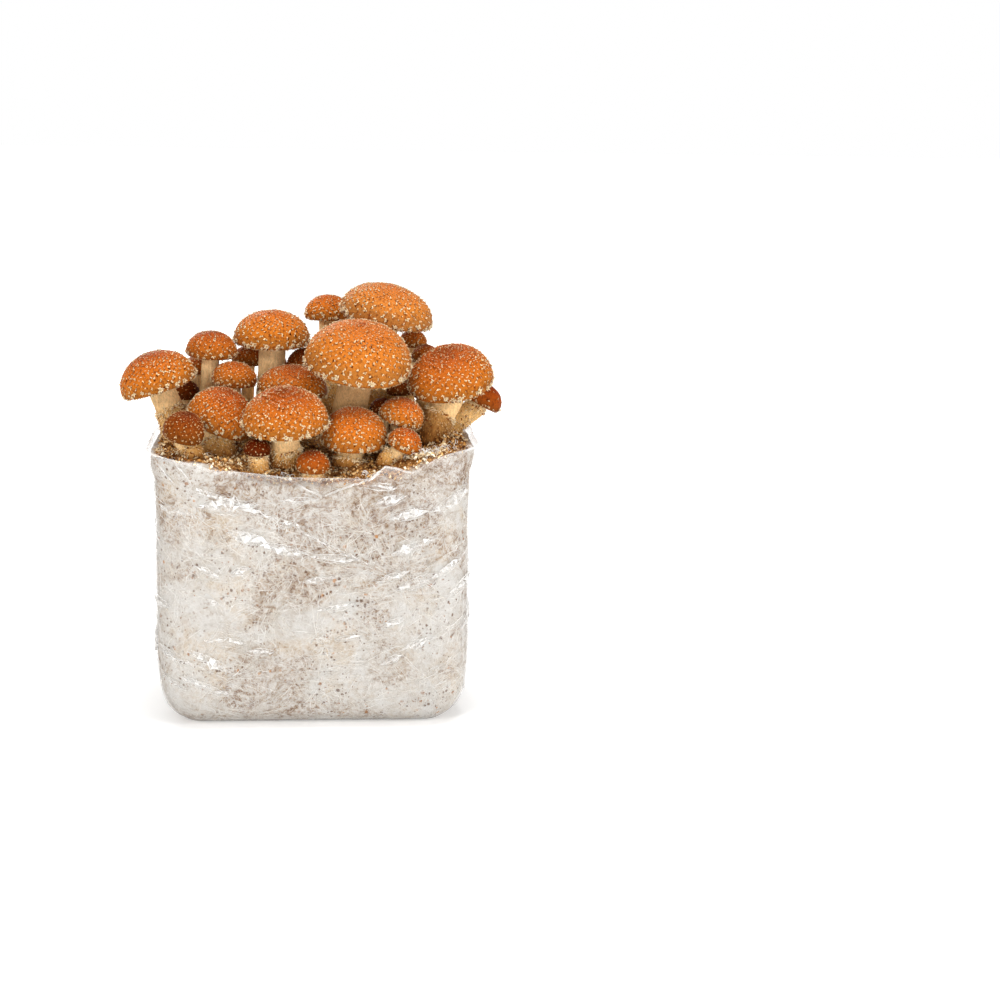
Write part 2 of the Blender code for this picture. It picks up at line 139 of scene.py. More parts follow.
# How much a cap's skin is darkened, partly its own dark tone and partly painted shade on caps that stand
# in shadow among the others, and how much redder, or, below 0, how much paler and tanner.
DARK_TONE_AND_SHADE = {"01": 0.12, "02": 0.25, "04": 0.5, "05": 0.2, "06": 0.9, "07": 0.6, "09": 0.12, "12": 0.6,
          "13": 0.1, "14": 0.76, "15": 0.16, "16": 1.0, "17": 0.5, "20": 0.85, "21": 0.15, "22": 0.15,
          "23": 0.62, "24": 0.4, "25": 0.45, "26": 0.85, "27": 0.6, "28": 0.8}
REDDER = {"02": 0.2, "16": 0.4, "17": 0.5, "18": 0.2, "21": 0.3, "05": 0.2, "09": 0.2, "23": 0.7,
          "08": 0.1, "12": 0.3, "10": -0.6, "11": -0.25, "03": -0.05}
# Caps whose crown is nearly as light as their flanks, from 0 to 1.
PALE_CROWN = {"03": 0.35, "08": 0.2, "10": 0.5, "11": 0.45, "18": 0.3, "05": 0.3}
# How far apart a cap's scales stand, as a share of a large cap's plain spacing.
SPACING = {"01": 0.74, "02": 0.72, "03": 0.84, "04": 0.72, "05": 0.76, "07": 0.72, "09": 0.68, "10": 0.86,
           "11": 0.86, "13": 0.8, "14": 0.78, "15": 0.70, "16": 0.9, "17": 1.0, "18": 0.78, "22": 0.74,
           "23": 2.2, "06": 1.1}
# The same for every other cap.
SPACED = 0.8


def cap_rotation(mushroom):
    right, forward = mushroom.lean
    lean_forward = Matrix.Rotation(math.radians(forward), 3, "X")
    return lean_forward @ Matrix.Rotation(math.radians(right), 3, "Y")


def find_shift():
    """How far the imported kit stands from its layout, in millimetres, read from the tallest crown."""
    mushroom = next(m for m in MUSHROOMS if m.name == "11")
    axis = cap_rotation(mushroom) @ Vector((0, 0, 1))
    laid_out = Vector(mushroom.centre) + axis * mushroom.height
    packed = max((v.co for v in frame["nodes"]["cap_11"].data.vertices), key=lambda co: co.dot(axis))
    return np.array(packed / MM - laid_out)


SHIFT = find_shift()


# Meshes


class Mesh:
    """Collects vertices in millimetres, faces, and three shading values for each vertex."""

    def __init__(self):
        self.verts = []
        self.values = []
        self.faces = []
        self.slots = []
        self.count = 0

    def add(self, verts, faces, values, slot=0):
        """faces: arrays of three or four corners each, counted from this call's first vertex."""
        verts = np.asarray(verts, float).reshape(-1, 3)
        self.verts.append(verts)
        self.values.append(np.broadcast_to(np.asarray(values, float), (len(verts), 3)))
        for corners in faces:
            corners = np.asarray(corners)
            self.faces.append(corners + self.count)
            self.slots.append(np.full(len(corners), slot))
        self.count += len(verts)

    def build(self, name, materials, smooth=True):
        """Makes the object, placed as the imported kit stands."""
        verts = (np.concatenate(self.verts) + SHIFT) * MM
        values = np.ones((len(verts), 4))
        values[:, :3] = np.concatenate(self.values)
        corner_counts = np.concatenate([np.full(len(f), f.shape[1]) for f in self.faces])
        corners = np.concatenate([f.reshape(-1) for f in self.faces])
        mesh = bpy.data.meshes.new(name)
        mesh.vertices.add(len(verts))
        mesh.vertices.foreach_set("co", verts.reshape(-1))
        mesh.loops.add(len(corners))
        mesh.loops.foreach_set("vertex_index", corners.astype(np.int32))
        mesh.polygons.add(len(corner_counts))
        starts = np.concatenate(([0], np.cumsum(corner_counts)[:-1]))
        mesh.polygons.foreach_set("loop_start", starts.astype(np.int32))
        mesh.polygons.foreach_set("material_index", np.concatenate(self.slots).astype(np.int32))
        mesh.polygons.foreach_set("use_smooth", np.full(len(corner_counts), smooth))
        layer = mesh.color_attributes.new("shade", "FLOAT_COLOR", "POINT")
        layer.data.foreach_set("color", values.reshape(-1))
        mesh.update(calc_edges=True)
        mesh.validate()
        for material in materials:
            mesh.materials.append(material)
        obj = bpy.data.objects.new(name, mesh)
        bpy.context.scene.collection.objects.link(obj)
        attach(obj, "root")
        return obj


def grid_faces(rows, columns, closed=True, flip=False):
    """Quads of a grid of rows by columns; a closed grid's last column meets its first."""
    row = np.arange(rows - 1)[:, None]
    column = np.arange(columns if closed else columns - 1)[None, :]
    a = row * columns + column
    b = row * columns + (column + 1) % columns
    quads = np.stack((a, b, b + columns, a + columns), axis=-1).reshape(-1, 4)
    return quads[:, ::-1] if flip else quads


def fan_faces(first, columns, centre, flip=False):
    """Triangles from a ring of columns vertices to one centre vertex."""
    i = np.arange(columns)
    corners = np.stack((first + i, first + (i + 1) % columns, np.full(columns, centre)), axis=-1)
    return corners[:, ::-1] if flip else corners


def closed_faces(rows, columns):
    """Faces of a closed form: a grid of rows by columns, then a vertex under it and one over it."""
    count = rows * columns
    return [
        grid_faces(rows, columns),
        fan_faces(0, columns, count, flip=True),
        fan_faces(count - columns, columns, count + 1),
    ]


def add_ridge(mesh, sides, values):
    """A thin three-sided line along three rows of points."""
    verts = np.stack(sides, axis=1).reshape(-1, 3)
    last = len(verts) - 3
    ends = [(0, 1, 2), (last + 2, last + 1, last)]
    mesh.add(verts, [grid_faces(len(sides[0]), 3), np.array(ends)], values)


def ring_points(radius, turn, height):
    """Points at turning angles round the upright axis."""
    return np.stack(np.broadcast_arrays(radius * np.cos(turn), radius * np.sin(turn), height), axis=-1)


def noise_at(points, size, seed=0.0):
    """Smooth noise between about -1 and 1 whose lumps are about size across."""
    offset = Vector((seed * 17.3, seed * 5.1, seed * 9.7))
    return np.array([noise.noise(Vector(p) / size + offset) for p in points])


def unit(vectors):
    return vectors / np.linalg.norm(vectors, axis=-1, keepdims=True)


# A flake's sections, each (along it, out from the skin, half width), and its tip.
FLAKE_RINGS = ((-0.12, -0.12, 0.15), (0.44, 0.22, 0.20))
FLAKE_TIP = (1.0, 0.55)
FLAKE_THICKNESS = 0.15


def flake_template():
    """Points of one flake, its faces, and how far along it each point is."""
    (back, low, narrow), (ahead, high, broad) = FLAKE_RINGS
    points = [(back, low, -narrow), (back, low, narrow), (ahead, high, -broad), (ahead, high, broad),
              (*FLAKE_TIP, 0), (ahead, high - FLAKE_THICKNESS, 0)]
    faces = [(0, 3, 1), (0, 2, 3), (2, 4, 3), (1, 5, 0), (3, 5, 1), (4, 5, 3), (2, 5, 4), (0, 5, 2)]
    return np.array(points), np.array(faces), np.array((0, 0, 0.7, 0.7, 1, 0.6))


def base_and_shadow_spot_template():
    """The same for a brown spot: a thin three-cornered plate that points down the cap. It is partly a
    scale's brown base and partly painted shadow under a flake or tuft.
    """
    points = [(-0.2, -0.1, 0.2), (-0.2, -0.1, -0.2), (0.8, 0.3, 0), (0.1, -0.4, 0)]
    return np.array(points), PLATE_FACES, np.zeros(4)


PLATE_FACES = np.array([(0, 1, 2), (0, 3, 1), (1, 3, 2), (2, 3, 0)])
FLAKE = flake_template()
BASE_AND_SHADOW_SPOT = base_and_shadow_spot_template()


def add_flakes(mesh, spots, normals, downs, turns, sizes, slot, curl=1.0, tone=0.0, pale=1.0, broad=1.0,
               template=FLAKE):
    """One flake of the template on each spot, turned from the way down by turns; pale 0 is brown."""
    points, faces, lift = template
    count = len(spots)
    turn = np.asarray(turns)[:, None]
    along = downs * np.cos(turn) + np.cross(normals, downs) * np.sin(turn)
    across = np.cross(normals, along)
    size = np.asarray(sizes)[:, None, None]
    rise = (curl * rng.uniform(0.7, 1.3, count))[:, None, None]
    verts = spots[:, None, :] + size * (
        points[None, :, 0:1] * along[:, None, :]
        + rise * points[None, :, 1:2] * normals[:, None, :]
        + broad * points[None, :, 2:3] * across[:, None, :]
    )
    starts = (np.arange(count) * len(points))[:, None, None]
    values = np.zeros((count, len(points), 3))
    values[..., 0] = np.broadcast_to(tone, count)[:, None]
    values[..., 1] = lift * pale
    values[..., 2] = rng.uniform(0, 1, count)[:, None]
    mesh.add(verts.reshape(-1, 3), [(faces[None] + starts).reshape(-1, 3)], values.reshape(-1, 3), slot)


def add_rosettes(mesh, spots, normals, downs, sizes, arms, facing, fan, slot, curl=1.0, tone=0.0,
                 broad=1.0):
    """Flakes that fan out from each spot: arms of them, spread over an angle of fan about facing."""
    tone = np.broadcast_to(tone, len(spots))
    for arm in range(int(arms.max())):
        some = arms > arm
        count = some.sum()
        turns = facing[some] + fan[some] * ((arm + 0.5) / arms[some] - 0.5) + rng.normal(0, 0.2, count)
        lengths = sizes[some] * rng.uniform(0.7, 1.25, count)
        add_flakes(mesh, spots[some], normals[some], downs[some], turns, lengths, slot, curl, tone[some],
                   broad=broad)


# Node helpers


def new_material(name):
    material = bpy.data.materials.new(name)
    material.use_nodes = True
    tree = material.node_tree
    return material, tree, tree.nodes["Principled BSDF"]


def node(tree, kind, inputs=None, **settings):
    made = tree.nodes.new(kind)
    for key, value in settings.items():
        setattr(made, key, value)
    for key, value in (inputs or {}).items():
        if isinstance(value, bpy.types.NodeSocket):
            tree.links.new(value, made.inputs[key])
        else:
            made.inputs[key].default_value = value
    return made


def shade_values(tree):
    """The three shading values that each vertex holds."""
    attribute = node(tree, "ShaderNodeAttribute", attribute_name="shade")
    parts = node(tree, "ShaderNodeSeparateColor", {"Color": attribute.outputs["Color"]})
    return parts.outputs["Red"], parts.outputs["Green"], parts.outputs["Blue"]


def object_place(tree):
    """The object's own coordinates, in metres."""
    return node(tree, "ShaderNodeTexCoord").outputs["Object"]


def noise_node(tree, scale, detail=4.0, roughness=0.55, stretch=None, distortion=0.0):
    """Noise over the object's own coordinates in metres, stretched along an axis if asked."""
    place = object_place(tree)
    if stretch is not None:
        place = node(tree, "ShaderNodeMapping", {"Vector": place, "Scale": stretch}).outputs["Vector"]
    inputs = {"Vector": place, "Scale": scale, "Detail": detail, "Roughness": roughness}
    inputs["Distortion"] = distortion
    return node(tree, "ShaderNodeTexNoise", inputs).outputs["Fac"]


def ramp(tree, factor, stops):
    """A colour ramp of (position, colour or grey value) stops."""
    made = node(tree, "ShaderNodeValToRGB", {"Fac": factor})
    elements = made.color_ramp.elements
    while len(elements) < len(stops):
        elements.new(0.5)
    for element, (position, value) in zip(elements, stops):
        element.position = position
        colour = value if isinstance(value, tuple) else (value, value, value)
        element.color = (*colour, 1.0)
    return made.outputs["Color"]


def mix(tree, factor, first, second, blend="MIX"):
    made = node(tree, "ShaderNodeMix", data_type="RGBA", blend_type=blend)
    for socket, value in (("Factor", factor), ("A", first), ("B", second)):
        target = next(s for s in made.inputs if s.name == socket and s.enabled)
        if isinstance(value, bpy.types.NodeSocket):
            tree.links.new(value, target)
        elif isinstance(value, tuple):
            target.default_value = (*value, 1.0)
        else:
            target.default_value = value
    return next(s for s in made.outputs if s.enabled)


def tint(tree, colour, by):
    return mix(tree, 1.0, colour, by, "MULTIPLY")


def math_node(tree, operation, first, second=0.0):
    return node(tree, "ShaderNodeMath", {0: first, 1: second}, operation=operation).outputs[0]


def product(tree, first, second):
    return math_node(tree, "MULTIPLY", first, second)


def total(tree, first, second):
    return math_node(tree, "ADD", first, second)


def vector_node(tree, operation, *inputs):
    made = node(tree, "ShaderNodeVectorMath", dict(enumerate(inputs)), operation=operation)
    return made.outputs[0]


def finish(tree, shader, colour, roughness, specular=0.5):
    """Sets a material's colour and how glossy it is."""
    tree.links.new(colour, shader.inputs["Base Color"])
    shader.inputs["Roughness"].default_value = roughness
    shader.inputs["Specular IOR Level"].default_value = specular


def add_bump(tree, shader, height, strength, distance):
    inputs = {"Height": height, "Strength": strength, "Distance": distance}
    bump = node(tree, "ShaderNodeBump", inputs)
    tree.links.new(bump.outputs["Normal"], shader.inputs["Normal"])


def radial_threads(tree, scale, rays, amount):
    """Threads that run out from scattered centres: noise over the direction from the nearest one."""
    place = object_place(tree)
    swirl = node(tree, "ShaderNodeTexNoise", {"Vector": place, "Scale": 35.0, "Detail": 2.0})
    swirl = vector_node(tree, "MULTIPLY", swirl.outputs["Color"], (0.009,) * 3)
    bent = vector_node(tree, "ADD", place, swirl)
    cells = node(tree, "ShaderNodeTexVoronoi", {"Vector": bent, "Scale": scale})
    away = vector_node(tree, "SUBTRACT", bent, cells.outputs["Position"])
    way = vector_node(tree, "NORMALIZE", away)
    own = vector_node(tree, "MULTIPLY_ADD", cells.outputs["Color"], (40.0,) * 3, way)
    streaks = node(tree, "ShaderNodeTexNoise",
                   {"Vector": own, "Scale": rays, "Detail": 4.0, "Roughness": 0.65})
    thread = ramp(tree, streaks.outputs["Fac"], [(0.50, 0.0), (0.56, amount)])
    fade = ramp(tree, cells.outputs["Distance"], [(0.4, 1.0), (0.9, 0.0)])
    return product(tree, thread, fade)


def dots(tree, scale, size, share):
    """Specks of many sizes in a share of the cells of a fine mosaic."""
    place = object_place(tree)
    cells = node(tree, "ShaderNodeTexVoronoi", {"Vector": place, "Scale": scale})
    chosen = node(tree, "ShaderNodeSeparateColor", {"Color": cells.outputs["Color"]})
    smaller = node(tree, "ShaderNodeMapRange",
                   {"Value": chosen.outputs["Green"], "To Min": 0.6, "To Max": 2.1})
    ragged = product(tree, noise_node(tree, 900.0, detail=2.0), size * 1.4)
    away = product(tree, cells.outputs["Distance"], smaller.outputs[0])
    away = total(tree, away, ragged)
    inside = ramp(tree, away, [(size * 1.7, 0.9), (size * 2.1, 0.0)])
    here = math_node(tree, "GREATER_THAN", chosen.outputs["Red"], share)
    patch = ramp(tree, noise_node(tree, 33.0, detail=3.0), [(0.44, 0.15), (0.56, 1.0)])
    return product(tree, product(tree, inside, here), patch)


# Materials


def cap_skin_material():
    """Orange skin, red-brown towards the crown and golden towards the margin, softly mottled, and
    darkened on some caps: partly their own tone, partly painted shade on caps in shadow.
    """
    material, tree, shader = new_material("cap_skin")
    down, redder, dark_tone_and_shade = shade_values(tree)
    mottle = noise_node(tree, 120.0, detail=5.0)
    place = total(tree, down, product(tree, mottle, 0.30))
    base = ramp(
        tree,
        place,
        [
            (0.14, (0.24, 0.045, 0.006)),
            (0.40, (0.47, 0.096, 0.011)),
            (0.66, (0.57, 0.145, 0.015)),
            (0.90, (0.54, 0.158, 0.016)),
            (1.0, (0.40, 0.134, 0.018)),
        ],
    )
    red = tint(tree, base, (1.05, 0.74, 0.6))
    base = mix(tree, redder, base, red)
    tan = tint(tree, base, (1.06, 1.26, 2.3))
    base = mix(tree, product(tree, redder, -1.0), base, tan)
    streaks = ramp(tree, noise_node(tree, 1000.0, detail=3.0), [(0.35, 0.76), (0.65, 1.12)])
    coloured = tint(tree, base, streaks)
    specks = ramp(tree, noise_node(tree, 560.0, detail=3.0), [(0.53, 0.0), (0.64, 0.7)])
    coloured = mix(tree, specks, coloured, (0.16, 0.030, 0.005))
    # Painted shade, partly own tone: a dark copy of the skin mixed in by each cap's dark value.
    dark = tint(tree, coloured, (0.20, 0.11, 0.08))
    coloured = mix(tree, dark_tone_and_shade, coloured, dark)
    finish(tree, shader, coloured, roughness=0.42, specular=0.02)
    add_bump(tree, shader, noise_node(tree, 560.0, detail=4.0), 0.7, 0.0007)
    return material


def flake_material():
    """Cream flakes, red-brown where they leave the skin."""
    material, tree, shader = new_material("scale_flakes")
    tone, lift, own = shade_values(tree)
    colour = ramp(
        tree,
        lift,
        [(0.0, (0.24, 0.052, 0.008)), (0.14, (0.40, 0.12, 0.020)), (0.40, (0.90, 0.62, 0.30)),
         (1.0, (1.0, 0.92, 0.68))],
    )
    brown = tint(tree, colour, (0.60, 0.36, 0.15))
    colour = mix(tree, tone, colour, brown)
    shade = ramp(tree, own, [(0.0, 0.86), (1.0, 1.08)])
    colour = tint(tree, colour, shade)
    finish(tree, shader, colour, roughness=0.7, specular=0.03)
    return material


def gill_material():
    material, tree, shader = new_material("gills")
    colour = ramp(
        tree, noise_node(tree, 300.0), [(0.3, (0.30, 0.20, 0.12)), (0.7, (0.46, 0.34, 0.22))]
    )
    finish(tree, shader, colour, roughness=0.85)
    return material


def stem_material():
    """Cream flesh with fine upright fibres, tan below its collar and brown towards the foot, with painted
    shade on stems that stand in shadow.
    """
    material, tree, shader = new_material("stem_flesh")
    up, collar, shaded = shade_values(tree)
    mottle = noise_node(tree, 260.0, detail=6.0, roughness=0.65)
    place = total(tree, up, product(tree, mottle, 0.30))
    above = ramp(tree, place, [(0.3, (0.90, 0.57, 0.25)), (1.0, (0.95, 0.64, 0.32))])
    below = ramp(
        tree,
        place,
        [(0.12, (0.12, 0.040, 0.008)), (0.24, (0.36, 0.15, 0.034)), (0.42, (0.70, 0.38, 0.12)),
         (0.75, (0.86, 0.53, 0.21))],
    )
    sheath = math_node(tree, "SUBTRACT", collar, up)
    sheath = total(tree, sheath, product(tree, mottle, 0.16))
    sheath = ramp(tree, sheath, [(0.04, 0.0), (0.14, 1.0)])
    colour = mix(tree, sheath, above, below)
    # Painted shade: the sheath, or below 0 the whole stem, is mixed towards a dark copy by the stem's
    # shade value.
    dark = tint(tree, colour, (0.36, 0.25, 0.16))
    where = math_node(tree, "MAXIMUM", product(tree, sheath, shaded),
                      product(tree, shaded, -1.0))
    colour = mix(tree, where, colour, dark)
    fibres = noise_node(tree, 1.0, detail=5.0, roughness=0.65, stretch=(900.0, 900.0, 130.0))
    streaks = ramp(tree, fibres, [(0.34, 0.76), (0.58, 1.1)])
    colour = tint(tree, colour, streaks)
    grains = ramp(tree, noise_node(tree, 850.0, detail=3.0), [(0.36, 0.66), (0.6, 1.05)])
    shaggy = math_node(tree, "MAXIMUM", sheath, 0.5)
    colour = mix(tree, shaggy, colour, tint(tree, colour, grains))
    stains = ramp(tree, noise_node(tree, 90.0, detail=3.0), [(0.52, 0.0), (0.70, 0.45)])
    colour = mix(tree, product(tree, stains, shaggy), colour, (0.44, 0.20, 0.05))
    finish(tree, shader, colour, roughness=0.75, specular=0.03)
    add_bump(tree, shader, fibres, 0.9, 0.0012)
    return material


def block_material():
    """White mycelium felt over sawdust, which shows as brown specks where the felt is thin."""
    material, tree, shader = new_material("mycelium")
    _, _, topness = shade_values(tree)
    place = object_place(tree)
    height = node(tree, "ShaderNodeSeparateXYZ", {0: place}).outputs["Z"]
    high = node(tree, "ShaderNodeMapRange", {"Value": height, "From Min": 0.09, "From Max": 0.165,
                                             "To Min": 0.0, "To Max": 0.08}).outputs[0]
    felt = noise_node(tree, 22.0, detail=6.0, roughness=0.62, distortion=0.7)
    thick = math_node(tree, "SUBTRACT", felt, high)
    colour = ramp(
        tree,
        thick,
        [(0.34, (0.28, 0.18, 0.10)), (0.42, (0.40, 0.315, 0.235)), (0.50, (0.48, 0.435, 0.38)),
         (0.60, (0.555, 0.535, 0.505))],
    )
    warm = ramp(tree, noise_node(tree, 26.0, detail=6.0, distortion=0.8), [(0.50, 0.0), (0.66, 0.55)])
    colour = mix(tree, warm, colour, (0.53, 0.39, 0.235))
    for scale, amount, bright in ((44.0, 0.26, 0.55), (95.0, 0.16, 0.5)):
        net = noise_node(tree, scale, detail=3.0, roughness=0.6, distortion=1.2)
        away = math_node(tree, "ABSOLUTE", math_node(tree, "SUBTRACT", net, 0.5))
        holes = ramp(tree, away, [(0.03, 0.0), (0.13, amount)])
        colour = mix(tree, holes, colour, (0.34, 0.285, 0.235))
        threads = ramp(tree, away, [(0.0, bright), (0.02, 0.0)])
        colour = mix(tree, threads, colour, (0.61, 0.595, 0.57))
    web = noise_node(tree, 300.0, detail=6.0, roughness=0.7, distortion=0.6)
    thin = ramp(tree, thick, [(0.40, 1.0), (0.53, 0.08)])
    gaps = product(tree, ramp(tree, web, [(0.40, 0.95), (0.50, 0.0)]), thin)
    colour = mix(tree, gaps, colour, (0.16, 0.078, 0.034))
    fluff = ramp(tree, web, [(0.52, 0.0), (0.64, 0.8)])
    colour = mix(tree, fluff, colour, (0.585, 0.57, 0.55))
    patches = ramp(tree, noise_node(tree, 48.0, detail=4.0), [(0.48, 0.0), (0.60, 1.0)])
    grit = ramp(tree, noise_node(tree, 620.0, detail=3.0), [(0.60, 0.0), (0.66, 0.95)])
    colour = mix(tree, product(tree, grit, patches), colour, (0.20, 0.088, 0.030))
    for scale, rays, amount in ((19.0, 9.0, 0.6), (37.0, 14.0, 0.55)):
        colour = mix(tree, radial_threads(tree, scale, rays, amount), colour, (0.60, 0.585, 0.56))
    for scale, size, share, tint in ((150.0, 0.13, 0.84, (0.42, 0.19, 0.055)),
                                     (230.0, 0.18, 0.66, (0.27, 0.115, 0.035)),
                                     (430.0, 0.25, 0.56, (0.11, 0.048, 0.018))):
        colour = mix(tree, dots(tree, scale, size, share), colour, tint)
    soil = ramp(
        tree,
        noise_node(tree, 330.0, detail=6.0, roughness=0.7),
        [(0.35, (0.06, 0.022, 0.005)), (0.5, (0.25, 0.10, 0.024)), (0.60, (0.56, 0.29, 0.09)),
         (0.70, (0.85, 0.66, 0.40))],
    )
    colour = mix(tree, topness, colour, soil)
    finish(tree, shader, colour, roughness=0.9, specular=0.12)
    add_bump(tree, shader, web, 0.4, 0.001)
    return material


def strand_material():
    material, tree, shader = new_material("mycelium_strands")
    colour = ramp(tree, noise_node(tree, 70.0), [(0.3, (0.66, 0.60, 0.51)), (0.6, (0.78, 0.765, 0.74))])
    finish(tree, shader, colour, roughness=0.85)
    return material


def crumb_material():
    """Sawdust crumbs from dark brown to straw, some of them white with mycelium."""
    material, tree, shader = new_material("crumbs")
    _, _, own = shade_values(tree)
    colour = ramp(
        tree,
        own,
        [
            (0.0, (0.075, 0.024, 0.005)),
            (0.24, (0.25, 0.088, 0.018)),
            (0.46, (0.53, 0.25, 0.066)),
            (0.66, (0.82, 0.50, 0.19)),
            (0.83, (0.96, 0.77, 0.46)),
            (1.0, (1.0, 0.91, 0.70)),
        ],
    )
    shade = ramp(tree, noise_node(tree, 900.0), [(0.3, 0.75), (0.7, 1.15)])
    finish(tree, shader, tint(tree, colour, shade), roughness=0.85, specular=0.1)
    return material


def film_material():
    """Clear film: mostly seen through and glossy. Its white is partly haze and partly painted highlight
    and sheen: along creases, on crumpled facets, over pockets and on the rim, and whiter at glancing
    angles.
    """
    material, tree, shader = new_material("film")
    crease_haze_and_highlight, _, _ = shade_values(tree)
    shader.inputs["Base Color"].default_value = (0.96, 0.945, 0.92, 1.0)
    shader.inputs["Roughness"].default_value = 0.14
    shader.inputs["IOR"].default_value = 1.5
    crinkle = noise_node(tree, 1.0, detail=5.0, roughness=0.65, stretch=(110.0, 110.0, 300.0))
    add_bump(tree, shader, crinkle, 0.5, 0.0014)
    gloss = node(tree, "ShaderNodeLayerWeight", {"Blend": 0.22}).outputs["Fresnel"]
    # Broad white patches: haze, and painted sheen where the film would mirror the lamps.
    haze = noise_node(tree, 30.0, detail=7.0, roughness=0.7, distortion=1.2)
    haze_and_highlight = ramp(tree, haze, [(0.42, 0.0), (0.68, 0.17)])
    # How white the film is: glancing-angle sheen, the patches, and each vertex's painted highlight and
    # haze.
    seen = total(tree, product(tree, gloss, 0.42), haze_and_highlight)
    seen = total(tree, seen, crease_haze_and_highlight)
    seen = node(tree, "ShaderNodeClamp", {"Value": seen}).outputs[0]
    clear = node(tree, "ShaderNodeBsdfTransparent", {"Color": (0.985, 0.985, 0.985, 1.0)})
    both = node(tree, "ShaderNodeMixShader", {0: seen})
    tree.links.new(clear.outputs[0], both.inputs[1])
    tree.links.new(shader.outputs[0], both.inputs[2])
    output = tree.nodes["Material Output"]
    tree.links.new(both.outputs[0], output.inputs["Surface"])
    return material


# The bag's wall


def between(table, at):
    places, heights = zip(*table)
    return np.interp(at, places, heights)


def outline_table():
    """The bag's plan as a dense polyline: distance round it from the front's middle, x, y, angle."""
    flat_x = BAG_WIDTH / 2 - BAG_CORNER
    flat_y = BAG_DEPTH / 2 - BAG_CORNER
    corners = ((flat_x, -flat_y, -90), (flat_x, flat_y, 0), (-flat_x, flat_y, 90),
               (-flat_x, -flat_y, 180))
    rows = [(0.0, -BAG_DEPTH / 2, -90.0)]
    for x, y, start in corners:
        for step in range(25):
            degrees = start + 90 * step / 24
            turn = math.radians(degrees)
            place = (x + BAG_CORNER * math.cos(turn), y + BAG_CORNER * math.sin(turn))
            rows.append((*place, degrees))
    rows.append((0.0, -BAG_DEPTH / 2, 270.0))
    rows = np.array(rows)
    steps = np.hypot(*np.diff(rows[:, :2], axis=0).T)
    return np.concatenate(([0.0], np.cumsum(steps))), rows


OUTLINE_AT, OUTLINE_ROWS = outline_table()
ROUND = OUTLINE_AT[-1]


def outline(around):
    """x, y and the outward normal's x and y at distances round the bag; front middle is 0."""
    around = np.mod(around, ROUND)
    x = np.interp(around, OUTLINE_AT, OUTLINE_ROWS[:, 0])
    y = np.interp(around, OUTLINE_AT, OUTLINE_ROWS[:, 1])
    turn = np.radians(np.interp(around, OUTLINE_AT, OUTLINE_ROWS[:, 2]))
    return x, y, np.cos(turn), np.sin(turn)


def wall(around, height, out=0.0):
    """Points of the bag's wall at distances round it and heights, moved outwards by out."""
    around, height, out = np.broadcast_arrays(around, height, out)
    x, y, nx, ny = outline(around)
    inset = FOOT_INSET * np.exp(-np.maximum(height, 0) / FOOT_CURVE)
    places = np.stack((x, y, height), axis=-1).reshape(-1, 3)
    lumps = LUMP * noise_at(places, LUMP_SIZE).reshape(height.shape)
    away = out - inset + lumps * np.clip(height / LUMPS_FROM, 0, 1)
    return np.stack((x + nx * away, y + ny * away, height), axis=-1)


def film_wall(around, height, out=0.0):
    """Points of the film, which leans out on the bag's left and right near its rim."""
    x, y, nx, _ = outline(around)
    up = np.clip(1 + (height - edge_height(x, y)) / FLARE_DEPTH, 0, 1)
    return wall(around, height, out + SIDE_FLARE * nx ** 2 * up * (2 - up))


def rim_height(x, y):
    front = between(FRONT_RIM, x)
    side = np.where(x < 0, between(LEFT_RIM, y), between(RIGHT_RIM, y))
    back = side - BACK_RIM_DIP * (1 - np.abs(x) / (BAG_WIDTH / 2))
    return front + (back - front) * np.clip((y + BAG_DEPTH / 2) / RIM_TURN, 0, 1)


def edge_height(x, y):
    front_share = np.clip(-y / (BAG_DEPTH / 2), 0, 1) * (1 - (x / (BAG_WIDTH / 2)) ** 2)
    rim = rim_height(x, y)
    peaked = (np.abs(x - PEAK_X) < PEAK_HALF_WIDTH) & (y < 0)
    rim = np.where(peaked, np.minimum(rim, RIM_WITHOUT_PEAK), rim)
    return rim - LIP_SIDE - (LIP_FRONT - LIP_SIDE) * front_share


# The block

BLOCK_COLUMNS = 270
BLOCK_ROWS = 72
BLOCK_TOP_ROWS = 38
BLOCK_ROUNDING = 2.0
# How high the block's foot stands, and how far its top is below the solid's.
BLOCK_FOOT = 1.0
TOP_BELOW = 0.3
# How far up the film's lip the block's felted edge has grown: x, share of the lip.
BLOCK_GROWN = ((-62, 0.85), (-28, 0.2), (56, 0.2), (66, 0.85))
BLOCK_INSET = 0.5
# How much of the film's lean the block follows.
BLOCK_LEAN = 0.85


def block_wall(around, height, proud=0.0):
    """Points of the block's dented wall, or proud of it."""
    film = film_wall(around, height, -BLOCK_INSET).reshape(-1, 3)
    smooth = wall(around, height, -BLOCK_INSET).reshape(-1, 3)
    smooth += BLOCK_LEAN * (film - smooth)
    dent = np.clip(0.4 + 0.45 * noise_at(smooth, 7.0, 3) + 0.3 * noise_at(smooth, 2.5, 4), 0, 1.3)
    _, _, nx, ny = outline(np.broadcast_to(around, np.shape(height)).reshape(-1))
    smooth[:, 0] += nx * (proud - dent)
    smooth[:, 1] += ny * (proud - dent)
    return smooth


